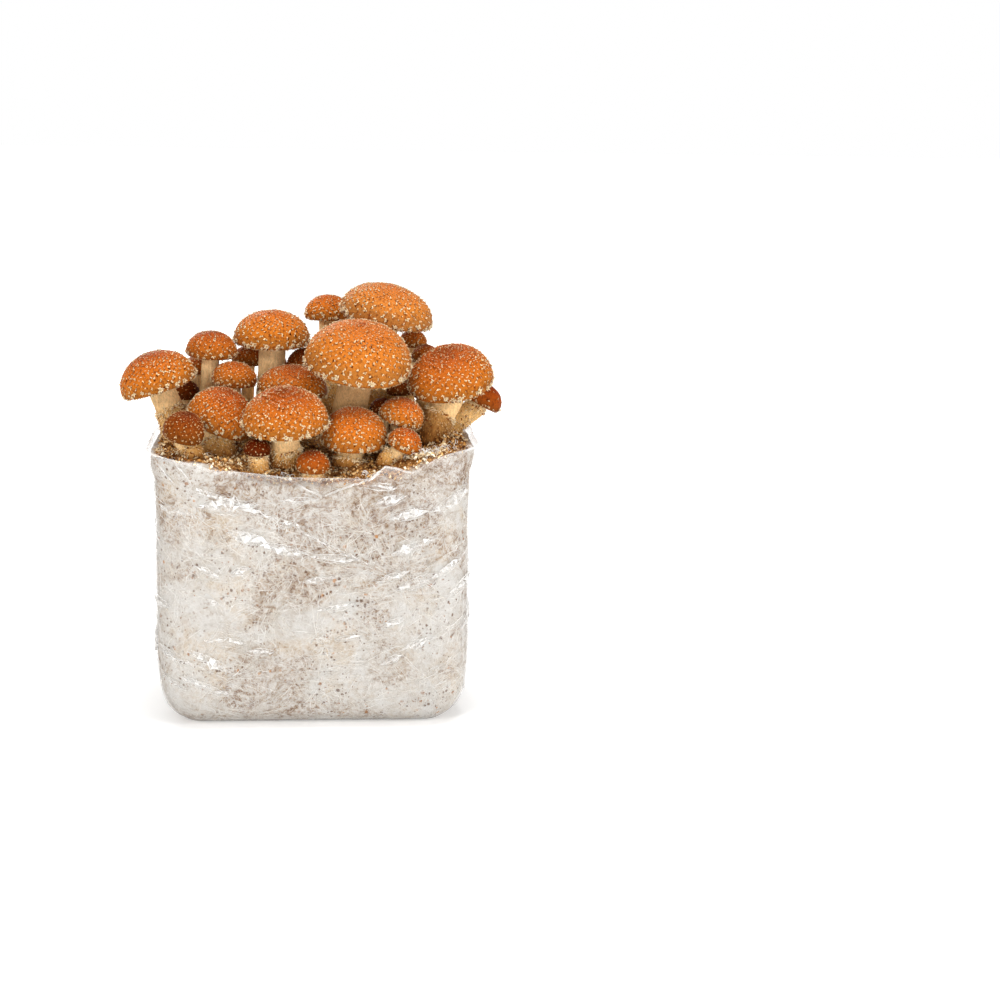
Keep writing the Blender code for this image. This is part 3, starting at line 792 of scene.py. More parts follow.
def build_block(materials):
    """The block's foot, wall and crumbly top as one closed mesh."""
    mesh = Mesh()
    around = np.linspace(0, ROUND, BLOCK_COLUMNS, endpoint=False)
    x, y, nx, _ = outline(around)
    edge = edge_height(x, y)
    edge = edge + between(BLOCK_GROWN, x) * (rim_height(x, y) - edge)
    lean = BLOCK_LEAN * SIDE_FLARE * nx ** 3
    rows, values = [], []
    for share in np.linspace(0, 1, BLOCK_ROWS):
        height = BLOCK_FOOT + (edge - BLOCK_ROUNDING - BLOCK_FOOT) * share
        rows.append(block_wall(around, height))
        values.append(np.zeros(BLOCK_COLUMNS))
    for share in np.concatenate(([0.985, 0.965], np.linspace(0.94, 0.03, BLOCK_TOP_ROWS))):
        px, py = (x + lean * max(10 * share - 9, 0)) * share, y * share
        way_up = between(TOP_RINGS, share)
        flat = np.stack((px, py, np.full_like(px, 7.0)), axis=-1)
        lump = TOP_LUMP * noise_at(flat, TOP_LUMP_SIZE)
        fade = np.clip((1 - share) / 0.05, 0, 1)
        crumbs = 1.3 * noise_at(flat, 5.0, 1) + 0.7 * noise_at(flat, 1.9, 2)
        height = edge + (TOP_MIDDLE - edge) * way_up + (lump + crumbs) * fade
        height -= BLOCK_ROUNDING * (1 - fade)
        rows.append(np.stack((px, py, height - TOP_BELOW), axis=-1))
        bare = (0.96 + 0.03 * nx ** 2 - share) / 0.05
        values.append(np.clip(bare + 1.1 * noise_at(flat, 6.0, 8), 0, 1))
    verts = np.concatenate(rows)
    shade = np.zeros((len(verts), 3))
    shade[:, 2] = np.concatenate(values)
    mesh_verts = np.concatenate((verts, [[0, 0, BLOCK_FOOT], [0, 0, TOP_MIDDLE - TOP_BELOW]]))
    mesh_values = np.concatenate((shade, [[0, 0, 0], [0, 0, 1]]))
    faces = closed_faces(len(rows), BLOCK_COLUMNS)
    mesh.add(mesh_verts, faces, mesh_values)
    block = mesh.build("substrate_block_surface", materials)
    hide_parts("substrate_block")
    polygons = [tuple(f) for part in faces for f in part]
    return BVHTree.FromPolygons([Vector(v) for v in mesh_verts], polygons)


def ground(surface, x, y):
    hit = surface.ray_cast(Vector((x, y, ABOVE_ALL)), Vector((0, 0, -1)))[0]
    return hit.z if hit is not None else None


# Strands of mycelium fan out over the wall from centres: (distance round the bag, height, reach).
STRAND_CENTRES = ((-9, 33, 48), (42, 50, 46), (-58, 70, 40), (66, 88, 38), (8, 96, 36),
                  (-30, 128, 30), (78, 28, 34), (-74, 24, 34), (34, 132, 26))
SCATTERED_CENTRES = 20
SMALL_FRONT_CENTRES = 22
STRANDS_PER_CENTRE = 46
STRAND_STEPS = 6
STRAND_WIDTH = 0.25


def build_strands(materials):
    """Strands that fan out from the centres, apart from those that would pass the block's edge."""
    mesh = Mesh()
    centres = list(STRAND_CENTRES)
    for _ in range(SCATTERED_CENTRES):
        centres.append((rng.uniform(100, ROUND - 100), rng.uniform(20, 150), rng.uniform(22, 45)))
    for _ in range(SMALL_FRONT_CENTRES):
        centres.append((rng.uniform(-92, 92), rng.uniform(12, 145), rng.uniform(10, 26)))
    for centre_around, centre_height, reach in centres:
        for _ in range(STRANDS_PER_CENTRE):
            turn = rng.uniform(0, 2 * math.pi)
            length = reach * rng.uniform(0.25, 1.0) ** 1.3
            start = rng.uniform(0, 0.7) * reach
            bend = rng.normal(0, 0.8)
            travel = np.linspace(0, 1, STRAND_STEPS)
            heading = turn + rng.normal(0, 0.35) + bend * travel
            heading = heading + 0.15 * np.sin(travel * rng.uniform(3, 9))
            step = length / (STRAND_STEPS - 1)
            along = centre_around + math.cos(turn) * start + np.cumsum(np.cos(heading)) * step
            height = centre_height + math.sin(turn) * start + np.cumsum(np.sin(heading)) * step
            height = np.clip(height, 3.0, None)
            x, y, _, _ = outline(along)
            if np.any(height > edge_height(x, y) - 3):
                continue
            width = STRAND_WIDTH * rng.uniform(0.6, 1.5) * (1 - 0.75 * travel)
            add_strand(mesh, along, height, heading, width)
    strands = mesh.build("mycelium_strands", materials)


def add_strand(mesh, along, height, heading, width):
    """A tapered thread on the block's wall, three-sided so that it is closed."""
    left = block_wall(along - np.sin(heading) * width, height + np.cos(heading) * width, -0.15)
    right = block_wall(along + np.sin(heading) * width, height - np.cos(heading) * width, -0.15)
    ridge = block_wall(along, height, 0.22)
    add_ridge(mesh, (right, left, ridge), (0, 0, 0))


# Crumbs, fluff and loose threads on the block's top

CRUMB_COUNT = 8800
OCTAHEDRON = np.array([(1, 0, 0), (-1, 0, 0), (0, 1, 0), (0, -1, 0), (0, 0, 1), (0, 0, -1)], float)
OCTAHEDRON_FACES = np.array([(0, 2, 4), (2, 1, 4), (1, 3, 4), (3, 0, 4), (2, 0, 5), (1, 2, 5),
                             (3, 1, 5), (0, 3, 5)])
# Patches of cream fluff on the block's top, beside those at the stems' feet: x, y, reach, fluffs.
FLUFF_PATCHES = ((66, -46, 9, 110), (76, -38, 7, 40), (-22, -56, 8, 40), (-60, -50, 10, 45),
                 (14, -50, 9, 40), (90, -20, 8, 30), (-92, -30, 8, 30), (0, 20, 60, 120))
# Heaps of crumbs: x, y, reach across, how high they stand on the block's top.
CRUMB_HEAPS = ((-90, -8, 12, 26, 8.0), (-84, 34, 14, 20, 5.0), (88, -22, 9, 20, 6.0),
               (90, 20, 9, 26, 4.0),
               (-62, -50, 16, 7, 2.6), (-26, -56, 9, 5, 2.6), (66, -52, 12, 6, 3.0), (8, -58, 20, 4, 2.0))
# Where the crumbs are white with mycelium: x, y, reach.
PALE_HEAP = (72, -50, 18)
# Where threads lie loose: x, y, reach, threads.
LOOSE_THREADS = ((72, -50, 7, 18), (84, -40, 8, 14), (78, -46, 12, 14), (-20, -58, 4, 8),
                 (34, -58, 5, 12), (-70, -44, 5, 8), (60, -46, 6, 16))
THREAD_STEPS = 8


def heaped(x, y):
    """How high crumbs are heaped at a place on the block's top."""
    low = 1.6 * max(noise.noise(Vector((x, y, 3.0)) / 7.0) + 0.25, 0)
    for middle_x, middle_y, reach_x, reach_y, high in CRUMB_HEAPS:
        away = ((x - middle_x) / reach_x) ** 2 + ((y - middle_y) / reach_y) ** 2
        low += high * max(1 - away, 0) ** 0.7
    return low


def add_lumps(mesh, spots, sizes, own):
    """Small uneven eight-sided lumps."""
    count = len(spots)
    shape = OCTAHEDRON[None] * rng.uniform(0.55, 1.25, (count, 6, 1))
    shape = shape * rng.uniform(0.5, 1.0, (count, 1, 3))
    turn = rng.uniform(0, 2 * math.pi, count)
    tilt = rng.uniform(-0.8, 0.8, count)
    cos, sin = np.cos(turn)[:, None], np.sin(turn)[:, None]
    x = shape[..., 0] * cos - shape[..., 1] * sin
    y = shape[..., 0] * sin + shape[..., 1] * cos
    z = shape[..., 2] * np.cos(tilt)[:, None] + x * np.sin(tilt)[:, None]
    verts = np.stack((x, y, z), axis=-1) * np.asarray(sizes)[:, None, None] + spots[:, None, :]
    faces = OCTAHEDRON_FACES[None] + (np.arange(count) * 6)[:, None, None]
    values = np.zeros((count, 6, 3))
    values[..., 2] = np.asarray(own)[:, None]
    mesh.add(verts.reshape(-1, 3), [faces.reshape(-1, 3)], values.reshape(-1, 3))


def build_crumbs(surface, materials):
    """Sawdust crumbs on the block's top, in heaps here and there, with fluffs of mycelium."""
    mesh = Mesh()
    spots, sizes, own = [], [], []
    while len(spots) < CRUMB_COUNT:
        x = rng.uniform(-BAG_WIDTH / 2, BAG_WIDTH / 2)
        y = rng.uniform(-BAG_DEPTH / 2, BAG_DEPTH / 2)
        edge = max(abs(x) * 2 / BAG_WIDTH - 0.022, abs(y) * 2 / BAG_DEPTH)
        z = ground(surface, x, y)
        if z is None or z < TOP_LOWEST or edge > 0.962:
            continue
        heap = heaped(x, y) * min((0.975 - edge) * 14, 1)
        if heap < 1.5 and rng.uniform(0, 1) < 0.35:
            continue
        size = 0.4 + 1.7 * rng.uniform(0, 1) ** 3.6
        spots.append((x, y, z + 0.25 * size + heap * rng.uniform(0, 1) ** 0.6))
        sizes.append(size)
        pale = noise.noise(Vector((x, y, 0)) / 14.0) * 0.6
        pale += 0.8 * max(1 - math.hypot(x - PALE_HEAP[0], y - PALE_HEAP[1]) / PALE_HEAP[2], 0)
        own.append(np.clip(rng.beta(1.0, 1.35) + pale, 0, 1))
    add_lumps(mesh, np.array(spots), sizes, own)
    crumbs = mesh.build("substrate_crumbs", materials[:1], smooth=False)
    build_fluff(surface, materials[1])
    build_loose_threads(surface, materials[2])


def build_fluff(surface, material):
    """Small cream rosettes of mycelium on the block's top."""
    mesh = Mesh()
    spots = []
    patches = list(FLUFF_PATCHES)
    patches += [(*mushroom.base, mushroom.stem * 1.35, 34) for mushroom in MUSHROOMS]
    for x, y, reach, count in patches:
        for _ in range(count):
            turn, away = rng.uniform(0, 2 * math.pi), reach * math.sqrt(rng.uniform(0.35, 1.2))
            px, py = x + away * math.cos(turn), y + away * math.sin(turn)
            z = ground(surface, px, py)
            if z is not None and z > TOP_LOWEST:
                spots.append((px, py, z + 0.3 + 0.9 * heaped(px, py) * rng.uniform(0.3, 1)))
    spots = np.array(spots)
    count = len(spots)
    normals = unit(np.stack((rng.normal(0, 0.35, count), rng.normal(0, 0.35, count) - 0.2,
                             np.ones(count)), axis=-1))
    downs = unit(np.cross(normals, np.array([1.0, 0.2, 0.1])))
    add_rosettes(mesh, spots, normals, downs, rng.uniform(0.6, 1.6, count), rng.integers(3, 7, count),
                 rng.uniform(0, 6.28, count), np.full(count, 6.28), 0, 1.6, rng.uniform(0, 0.5, count))
    fluff = mesh.build("mycelium_fluff", [material])


def build_loose_threads(surface, material):
    """White threads that arch over the crumbs."""
    mesh = Mesh()
    steps = THREAD_STEPS
    travel = np.linspace(0, 1, steps)
    for x, y, reach, count in LOOSE_THREADS:
        for _ in range(count):
            start = np.array([x, y]) + rng.normal(0, reach / 2, 2)
            low = ground(surface, *start)
            if low is None or low < TOP_LOWEST:
                continue
            turn = rng.uniform(0, 2 * math.pi)
            length = rng.uniform(2.5, 7.0)
            bend = turn + rng.normal(0, 0.7) * travel
            flat = np.stack((np.cos(bend), np.sin(bend)), axis=-1) * length / steps
            path = start + np.cumsum(flat, axis=0)
            rise = heaped(*start) + rng.uniform(1.0, 3.5) * np.sin(travel * math.pi * 0.8 + 0.2)
            middle = np.column_stack((path, low + rise))
            width = rng.uniform(0.16, 0.32) * (1 - 0.6 * travel)[:, None]
            across = np.stack((-np.sin(bend), np.cos(bend), np.zeros(steps)), axis=-1) * width
            lift = np.zeros((steps, 3))
            lift[:, 2] = width[:, 0]
            verts = np.stack((middle - across, middle + across, middle + lift * 1.6), axis=1)
            last = 3 * steps - 3
            ends = [(0, 2, 1), (last, last + 1, last + 2)]
            mesh.add(verts.reshape(-1, 3), [grid_faces(steps, 3), np.array(ends)], (0, 0, 0))
    threads = mesh.build("loose_threads", [material])


# Caps

# Columns round a cap, for caps of at least each radius.
CAP_COLUMNS = ((22.0, 96), (12.0, 64), (0.0, 44))
DOME_ROWS = 16
MARGIN_ROWS = 4
# How far the skin is inside the solid's, so that the relief and the scales stay within its box.
SKIN_IN = 0.6
# How far along its shading, from the crown's 0 to the edge's 1, a cap's widest ring is.
WIDEST_SHADE = 0.86
# Scales reach a little past the widest ring. They are full-sized on a cap of this radius.
SCALES_END = math.radians(93)
FULL_SCALES = 30.0
# Caps with rings of wrinkles round the crown: how deep the wrinkles are, in millimetres. Every
# second ring of scales stands on a crest. TERRACE: how far apart the rings are, in radians.
TERRACED = {"15": 0.42, "09": 0.16, "22": 0.30}
TERRACE = 0.085
WRINKLED_ROWS = 44


def margin_of(mushroom):
    """(radius, height) of the margin's edge below the widest ring."""
    radius = (0.96 - 0.14 * mushroom.button) * mushroom.radius
    return radius, -(0.15 + 0.2 * mushroom.button) * mushroom.height


def hub_height(mushroom):
    return margin_of(mushroom)[1] + 0.11 * mushroom.radius


def uneven(mushroom, angle):
    seed = 1.7 * int(mushroom.name)
    return 1 + 0.025 * np.sin(2 * angle + seed) + 0.018 * np.sin(3 * angle + 2.3 * seed)


def place_cap(mushroom, points, *directions):
    turned = np.array(cap_rotation(mushroom)).T
    placed = points @ turned + np.array(mushroom.centre)
    return (placed, *(way @ turned for way in directions)) if directions else placed


def dome(mushroom, polar, turn):
    """Points of the dome, its outward normals and the way down to the margin, in cap axes."""
    radius, height = mushroom.radius - SKIN_IN, mushroom.height - SKIN_IN
    wide = radius * uneven(mushroom, turn)
    points = ring_points(wide * np.sin(polar), turn, height * np.cos(polar))
    normals = unit(ring_points(np.sin(polar) / wide, turn, np.cos(polar) / height))
    downs = unit(ring_points(wide * np.cos(polar), turn, -height * np.sin(polar)))
    return points, normals, downs


def margin_spots(mushroom, drop, turn):
    """Points on the rounded margin, from the widest ring at drop 0 to the edge at 1, cap axes."""
    margin_radius, margin_z = margin_of(mushroom)
    inner = margin_radius - SKIN_IN
    reach = mushroom.radius - margin_radius
    bend = drop * math.pi / 2
    wide = uneven(mushroom, turn)
    radius = (inner + reach * np.cos(bend)) * wide
    out, low = -margin_z * np.cos(bend), -reach * np.sin(bend)
    points = ring_points(radius, turn, margin_z * np.sin(bend))
    return points, unit(ring_points(out, turn, low)), unit(ring_points(low, turn, -out))


def crown_ring(mushroom, polar, turn):
    """Which ring of a terraced crown a place is on, in parts of a ring."""
    return polar / TERRACE + 0.5 * np.sin(3 * turn + int(mushroom.name)) + 0.3 * np.sin(5 * turn)


def skin_relief(mushroom, points):
    """How far the skin stands out over the plain dome at points in cap axes."""
    seeded = points + int(mushroom.name) * 31.0
    relief = 0.32 * noise_at(seeded, 9.0) + 0.14 * noise_at(seeded, 3.0)
    if mushroom.name in TERRACED:
        radius, height = mushroom.radius, mushroom.height
        polar = np.arctan2(np.hypot(points[:, 0], points[:, 1]) / radius, points[:, 2] / height)
        turn = np.arctan2(points[:, 1], points[:, 0])
        wrinkle = np.cos(math.pi * crown_ring(mushroom, polar, turn))
        uneven_depth = np.clip(0.9 + 1.2 * noise_at(seeded, 12.0, 2), 0.1, 1.5)
        relief += TERRACED[mushroom.name] * wrinkle * uneven_depth * np.clip(1.5 - 1.4 * polar, 0, 1)
    return relief


def scale_growth(radius):
    return 0.62 + 0.38 * min(radius / FULL_SCALES, 1.0)


def scale_spots(mushroom):
    """Polar and turning angles of the scales: close together on the crown, wider lower down."""
    radius = mushroom.radius
    grown = scale_growth(radius)
    polar = np.linspace(0.04, SCALES_END, 400)
    share = polar / polar[-1]
    spacing = grown * (1.95 + 3.9 * share ** 1.3) * SPACING.get(mushroom.name, SPACED)
    arc = np.hypot(radius * np.cos(polar), mushroom.height * np.sin(polar))
    weight = 2 * math.pi * radius * np.sin(polar) * arc / spacing ** 2 * (polar[1] - polar[0])
    total = np.cumsum(weight)
    count = int(total[-1])
    picked = np.interp(np.arange(count) + rng.uniform(0.1, 0.9, count), total, polar)
    golden = math.pi * (3 - math.sqrt(5))
    jitter = 0.45 * grown / radius / np.maximum(np.sin(picked), 0.15)
    turn = np.arange(count) * golden + rng.normal(0, 1, count) * jitter
    if mushroom.name in TERRACED:
        bands = crown_ring(mushroom, picked, turn)
        snapped = (np.round(bands) - bands) * TERRACE
        picked = picked + snapped * 0.8 * np.clip(1.25 - picked, 0, 1)
    return np.maximum(picked, 0.03), turn


def add_scales(mesh, mushroom):
    """Scales of one to three cream flakes over a brown plate, partly their base and partly painted
    shadow, growing larger towards the margin.
    """
    polar, turn = scale_spots(mushroom)
    share = polar / SCALES_END
    dark_tone_and_shade = DARK_TONE_AND_SHADE.get(mushroom.name, 0.0)
    spacing = SPACING.get(mushroom.name, SPACED)
    grown = scale_growth(mushroom.radius) * (1 - 0.2 * dark_tone_and_shade)
    grown *= 0.5 + 0.5 * min(spacing, 1.2)
    points, normals, downs = dome(mushroom, polar, turn)
    points = points + normals * skin_relief(mushroom, points)[:, None]
    spots, normals, downs = place_cap(mushroom, points, normals, downs)
    count = len(polar)
    sizes = grown * (0.84 + 1.05 * share) * rng.uniform(0.55, 1.4, count)
    arms = np.clip(np.round(rng.normal(0.9 + 1.6 * share, 0.7)), 1, 3)
    facing = rng.normal(0, 1.3, count)
    fan = np.interp(arms, (1, 2, 3), (1.0, 2.8, 4.4)) * rng.uniform(0.8, 1.15, count)
    tone = np.clip(rng.normal(0.26 - 0.30 * share + 0.6 * dark_tone_and_shade, 0.2), 0, 0.9)
    # Brown plates just below each scale, pointing down the cap: painted shadow, partly the scale's brown
    # base.
    under = spots + downs * (sizes * 0.1)[:, None]
    add_flakes(mesh, under, normals, downs, rng.normal(0, 0.5, count),
               sizes * rng.uniform(0.8, 1.2, count), 1, curl=0.28, tone=0.7, broad=3.0,
               template=BASE_AND_SHADOW_SPOT)
    add_rosettes(mesh, spots, normals, downs, sizes, arms, facing, fan, 1, 1.05, tone, 1.5)


def add_tufts(mesh, mushroom):
    """Cream many-petalled tufts, left by the veil, round the margin, and a ragged fringe."""
    radius = mushroom.radius
    dark_tone_and_shade = DARK_TONE_AND_SHADE.get(mushroom.name, 0.0)
    grown = min(radius / 28.0, 1.0)
    around = 2 * math.pi * radius
    count = max(int(around / (3.0 + 0.12 * radius)), 8)
    for large, middle, spread in ((0.95, 0.15, 0.16), (0.6, 0.5, 0.22)):
        turn = 2 * math.pi * (np.arange(count) + rng.uniform(-0.35, 0.35, count)) / count + large
        drop = np.clip(rng.normal(middle, spread, count), -0.3, 0.9)
        points, normals, downs = margin_spots(mushroom, drop, turn)
        sizes = large * (0.5 + 2.1 * grown) * (1 - 0.5 * dark_tone_and_shade) * rng.uniform(0.45, 1.15, count)
        arms = np.round(rng.uniform(6, 10, count) * (0.55 + 0.45 * grown))
        facing = rng.uniform(0, 2 * math.pi, count)
        fan = np.full(count, 2 * math.pi)
        tone = rng.uniform(0, 0.2, count) + 0.35 * dark_tone_and_shade
        spots, normals, downs = place_cap(mushroom, points, normals, downs)
        # Brown plates below each tuft: painted shadow, partly the tufts' brown base.
        add_flakes(mesh, spots + downs * 0.5, normals, downs, np.zeros(count), sizes * 1.25, 1, curl=0.2,
                   tone=0.6, broad=2.6, template=BASE_AND_SHADOW_SPOT)
        add_rosettes(mesh, spots, normals, downs, sizes, arms, facing, fan, 1, 0.8, tone, 1.05)
        add_rosettes(mesh, spots + normals * 0.35, normals, downs, sizes * 0.65, np.maximum(arms - 3, 3),
                     facing + 1, fan, 1, 1.9, tone, 1.1)
    fringe = int(around / 0.85)
    turn = rng.uniform(0, 2 * math.pi, fringe)
    points, normals, downs = margin_spots(mushroom, rng.uniform(0.65, 1.0, fringe), turn)
    sizes = rng.uniform(0.6, 1.7, fringe) * (0.5 + 0.5 * grown)
    add_flakes(mesh, *place_cap(mushroom, points, normals, downs), rng.normal(0, 0.8, fringe), sizes, 1,
               curl=1.1, tone=rng.uniform(0.2, 0.8, fringe), broad=1.2)


def cap_profile(mushroom):
    """Rows of (radius, height, way down from 0 to 1) from the crown to inside the margin, then the
    gills' outer radius and the hub's."""
    radius, height = mushroom.radius - SKIN_IN, mushroom.height - SKIN_IN
    margin_radius, margin_z = margin_of(mushroom)
    margin_radius -= SKIN_IN
    dome_rows = WRINKLED_ROWS if mushroom.name in TERRACED else DOME_ROWS
    rows = []
    for k in range(1, dome_rows + 1):
        polar = math.pi / 2 * k / dome_rows
        way = WIDEST_SHADE * k / dome_rows
        rows.append((radius * math.sin(polar), height * math.cos(polar), way))
    reach = radius - margin_radius
    for k in range(1, MARGIN_ROWS + 1):
        turn = math.pi / 2 * k / MARGIN_ROWS
        way = WIDEST_SHADE + (1 - WIDEST_SHADE) / MARGIN_ROWS * k
        rows.append((margin_radius + reach * math.cos(turn), margin_z * math.sin(turn), way))
    hub_radius = 0.81 * mushroom.stem
    inner = margin_radius - 1.6
    rows.append((margin_radius - 0.7, margin_z - 0.25, 1.0))
    rows.append((inner, margin_z + 0.5, 1.0))
    return rows, inner, hub_radius


def build_cap(mushroom, materials):
    """A cap as one closed mesh of skin and gills, with its scales and tufts."""
    mesh = Mesh()
    columns = next(n for least, n in CAP_COLUMNS if mushroom.radius >= least)
    turn = np.linspace(0, 2 * math.pi, columns, endpoint=False)
    profile, inner, hub_radius = cap_profile(mushroom)
    hub_z = hub_height(mushroom)
    wavy = uneven(mushroom, turn)
    rings, shade = [], []
    for radius, height, way in profile:
        rings.append(ring_points(radius * wavy, turn, height))
        shade.append(np.full(columns, way))
    skin_rows = len(rings)
    pleat = np.where(np.arange(columns) % 2, 1.0, 0.0)
    depth = 0.9 + 0.035 * mushroom.radius
    gill_foot = margin_of(mushroom)[1] + 0.5
    for share in (0.12, 0.4, 0.75, 1.0):
        radius = inner + (hub_radius - inner) * share
        height = gill_foot + (hub_z - gill_foot) * share + pleat * depth * (1 - 0.6 * share)
        rings.append(ring_points(radius * wavy, turn, height))
        shade.append(np.ones(columns))
    local = np.concatenate(rings + [[[0, 0, mushroom.height - SKIN_IN], [0, 0, hub_z + 0.4]]])
    count = len(local) - 2
    outward = unit(local + np.array([0, 0, mushroom.height]))
    above = np.clip(1 - np.arange(len(local)) / (skin_rows * columns), 0, 1) > 0.02
    above[-2] = True
    local = local + outward * (skin_relief(mushroom, local) * above)[:, None]
    values = np.zeros((len(local), 3))
    pale = PALE_CROWN.get(mushroom.name, 0.0)
    values[:count, 0] = pale * 0.8 + (1 - pale * 0.8) * np.concatenate(shade)
    values[:, 1] = REDDER.get(mushroom.name, 0.0)
    values[:, 2] = DARK_TONE_AND_SHADE.get(mushroom.name, 0.0)
    skin = grid_faces(skin_rows, columns, flip=True)
    gills = grid_faces(len(rings) - skin_rows + 1, columns, flip=True) + (skin_rows - 1) * columns
    verts = place_cap(mushroom, local)
    mesh.add(verts, [skin, fan_faces(0, columns, count)], values, 0)
    for corners in (gills, fan_faces(count - columns, columns, count + 1, flip=True)):
        mesh.faces.append(corners)
        mesh.slots.append(np.full(len(corners), 2))
    add_scales(mesh, mushroom)
    add_tufts(mesh, mushroom)
    cap = mesh.build(f"cap_{mushroom.name}_grown", materials)
    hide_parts(f"cap_{mushroom.name}")


# Stems

STEM_COLUMNS = 28
STEM_ROWS = 20
# How far up the stem its shaggy sheath ends in a collar.
COLLARS = {"01": 0.55, "03": 0.28, "09": 0.42, "11": 0.25, "14": 0.6, "15": 0.40, "16": 0.72,
           "17": 0.8, "18": 0.25, "21": 0.45, "22": 0.42, "23": 0.9}
COLLAR = 0.45
# How much thicker a stem is in its sheath, as a share of its radius.
SHEATH = 0.07
# How much the lower part of a stem is darkened, or, below 0, the whole stem: painted shade on stems that
# stand under their caps and face into the cluster, partly also their own browner flesh.
STEM_SHADE = {"01": -0.24, "22": 0.65, "14": 0.3, "25": 0.5, "12": 0.5, "11": -0.55, "15": -0.1}


def stem_curve(start, end, axis, share):
    """A point on the stem's curve: upright at its foot, and along the cap's axis at its top."""
    reach = (end - start).length * 0.4
    first = start + Vector((0, 0, reach))
    second = end - axis * reach
    a = start.lerp(first, share)
    b = first.lerp(second, share)
    c = second.lerp(end, share)
    return a.lerp(b, share).lerp(b.lerp(c, share), share)


def stem_frames(mushroom, surface):
    """(share, centre, across, along, ahead) at each row of the stem, from its foot to its top."""
    axis = cap_rotation(mushroom) @ Vector((0, 0, 1))
    top = Vector(mushroom.centre) + axis * (hub_height(mushroom) + 0.6)
    foot = Vector((*mushroom.base, 0))
    foot.z = ground(surface, foot.x, foot.y) - 1.2
    frames = []
    for row in range(STEM_ROWS):
        share = row / (STEM_ROWS - 1)
        centre = stem_curve(foot, top, axis, share)
        ahead = stem_curve(foot, top, axis, share + 0.02) - stem_curve(foot, top, axis, share - 0.02)
        ahead.normalize()
        across = (Vector((1, 0, 0)) - ahead * ahead.x).normalized()
        frames.append((share, centre, across, ahead.cross(across), ahead))
    return frames


def stem_width(mushroom, share):
    """The stem's radius: stout at the foot, a little narrower above, and thicker in its sheath."""
    plain = np.interp(share, (0, 0.1, 0.3, 0.7, 1.0), (1.16, 1.06, 0.97, 0.92, 0.9))
    collar = COLLARS.get(mushroom.name, COLLAR)
    return mushroom.stem * (plain + SHEATH * np.clip((collar - share) / 0.04 + 0.5, 0, 1))


def build_stem(mushroom, surface, materials):
    """A fluted stem as one closed mesh, with its shag."""
    mesh = Mesh()
    turn = np.linspace(0, 2 * math.pi, STEM_COLUMNS, endpoint=False)
    seed = int(mushroom.name)
    frames = stem_frames(mushroom, surface)
    length = (frames[-1][1] - frames[0][1]).length
    rows, shade = [], []
    for share, centre, across, along, _ in frames:
        arms = np.outer(np.cos(turn), np.array(across)) + np.outer(np.sin(turn), np.array(along))
        flutes = ring_points(4, turn, share * 2)
        rough = 1 + 0.07 * noise_at(flutes, 1.0, seed)
        rough += 0.045 * noise_at(flutes * (3, 3, 8), 1.0, seed) * (1.5 - share)
        rows.append(np.array(centre) + arms * (stem_width(mushroom, share) * rough)[:, None])
        shade.append(np.full(STEM_COLUMNS, share))
    verts = np.concatenate(rows + [[frames[0][1], frames[-1][1]]])
    values = np.zeros((len(verts), 3))
    values[:-2, 0] = np.concatenate(shade)
    values[-1, 0] = 1.0
    values[:, 1] = COLLARS.get(mushroom.name, COLLAR)
    values[:, 2] = STEM_SHADE.get(mushroom.name, 0.0)
    mesh.add(verts, closed_faces(STEM_ROWS, STEM_COLUMNS), values, 0)
    add_shag(mesh, mushroom, frames, length)
    stem = mesh.build(f"stem_{mushroom.name}_grown", materials)
    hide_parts(f"stem_{mushroom.name}")


def add_shag(mesh, mushroom, frames, length):
    """Shaggy flakes: fine ones up to the neck, thick ones in the sheath, and a ring at its collar."""
    collar = COLLARS.get(mushroom.name, COLLAR)
    grown = 0.55 + 0.45 * min(mushroom.stem / 9.0, 1.0)
    girth = 2 * math.pi * mushroom.stem
    in_sheath = int(min(girth * length * collar / 1.8, 1300))
    on_neck = int(min(girth * length * (1 - collar) / 3.2, 500))
    at_collar = int(girth / 0.42)
    share = np.concatenate((
        collar * rng.uniform(0, 1, in_sheath) ** 0.85,
        collar + (1 - collar) * rng.uniform(0, 0.95, on_neck) ** 1.4,
        np.clip(collar + 0.014 * np.round(rng.normal(0, 1.4, at_collar)), 0, 1),
    ))
    sizes = grown * np.concatenate((
        rng.uniform(0.6, 2.2, in_sheath), rng.uniform(0.35, 0.95, on_neck),
        rng.uniform(0.9, 2.5, at_collar),
    ))
    turns = np.concatenate((
        rng.normal(0, 1.0, in_sheath), rng.normal(0, 0.7, on_neck),
        rng.normal(0, 1.2, at_collar),
    ))
    curls = np.concatenate((np.full(in_sheath, 1.4), np.full(on_neck, 0.9), np.full(at_collar, 1.8)))
    count = len(share)
    around = rng.uniform(0, 2 * math.pi, count)
    index = np.clip((share * (STEM_ROWS - 1)).astype(int), 0, STEM_ROWS - 2)
    part = share * (STEM_ROWS - 1) - index
    centres, across, along, ahead = (np.array([frame[i] for frame in frames]) for i in range(1, 5))
    across, along, ahead = across[index], along[index], ahead[index]
    middles = centres[index] * (1 - part)[:, None] + centres[index + 1] * part[:, None]
    normals = across * np.cos(around)[:, None] + along * np.sin(around)[:, None]
    spots = middles + normals * (stem_width(mushroom, share) * 0.98)[:, None]
    shaded = STEM_SHADE.get(mushroom.name, 0.0)
    tone = np.clip(0.62 - 0.8 * share / max(collar, 0.3) + rng.normal(0, 0.3, count), 0, 0.8)
    # Painted shade: the sheath's flakes on a shaded stem are browned too.
    tone = np.clip(tone + shaded * 0.9 * (share < collar - 0.03), 0, 1)
    brown = rng.uniform(0, 1, count) < 0.16
    for some, pale in ((~brown, 0.85), (brown, 0.12)):
        add_flakes(mesh, spots[some], normals[some], -ahead[some], turns[some], sizes[some], 1,
                   curls[some], tone[some], pale, 1.15)


# Film

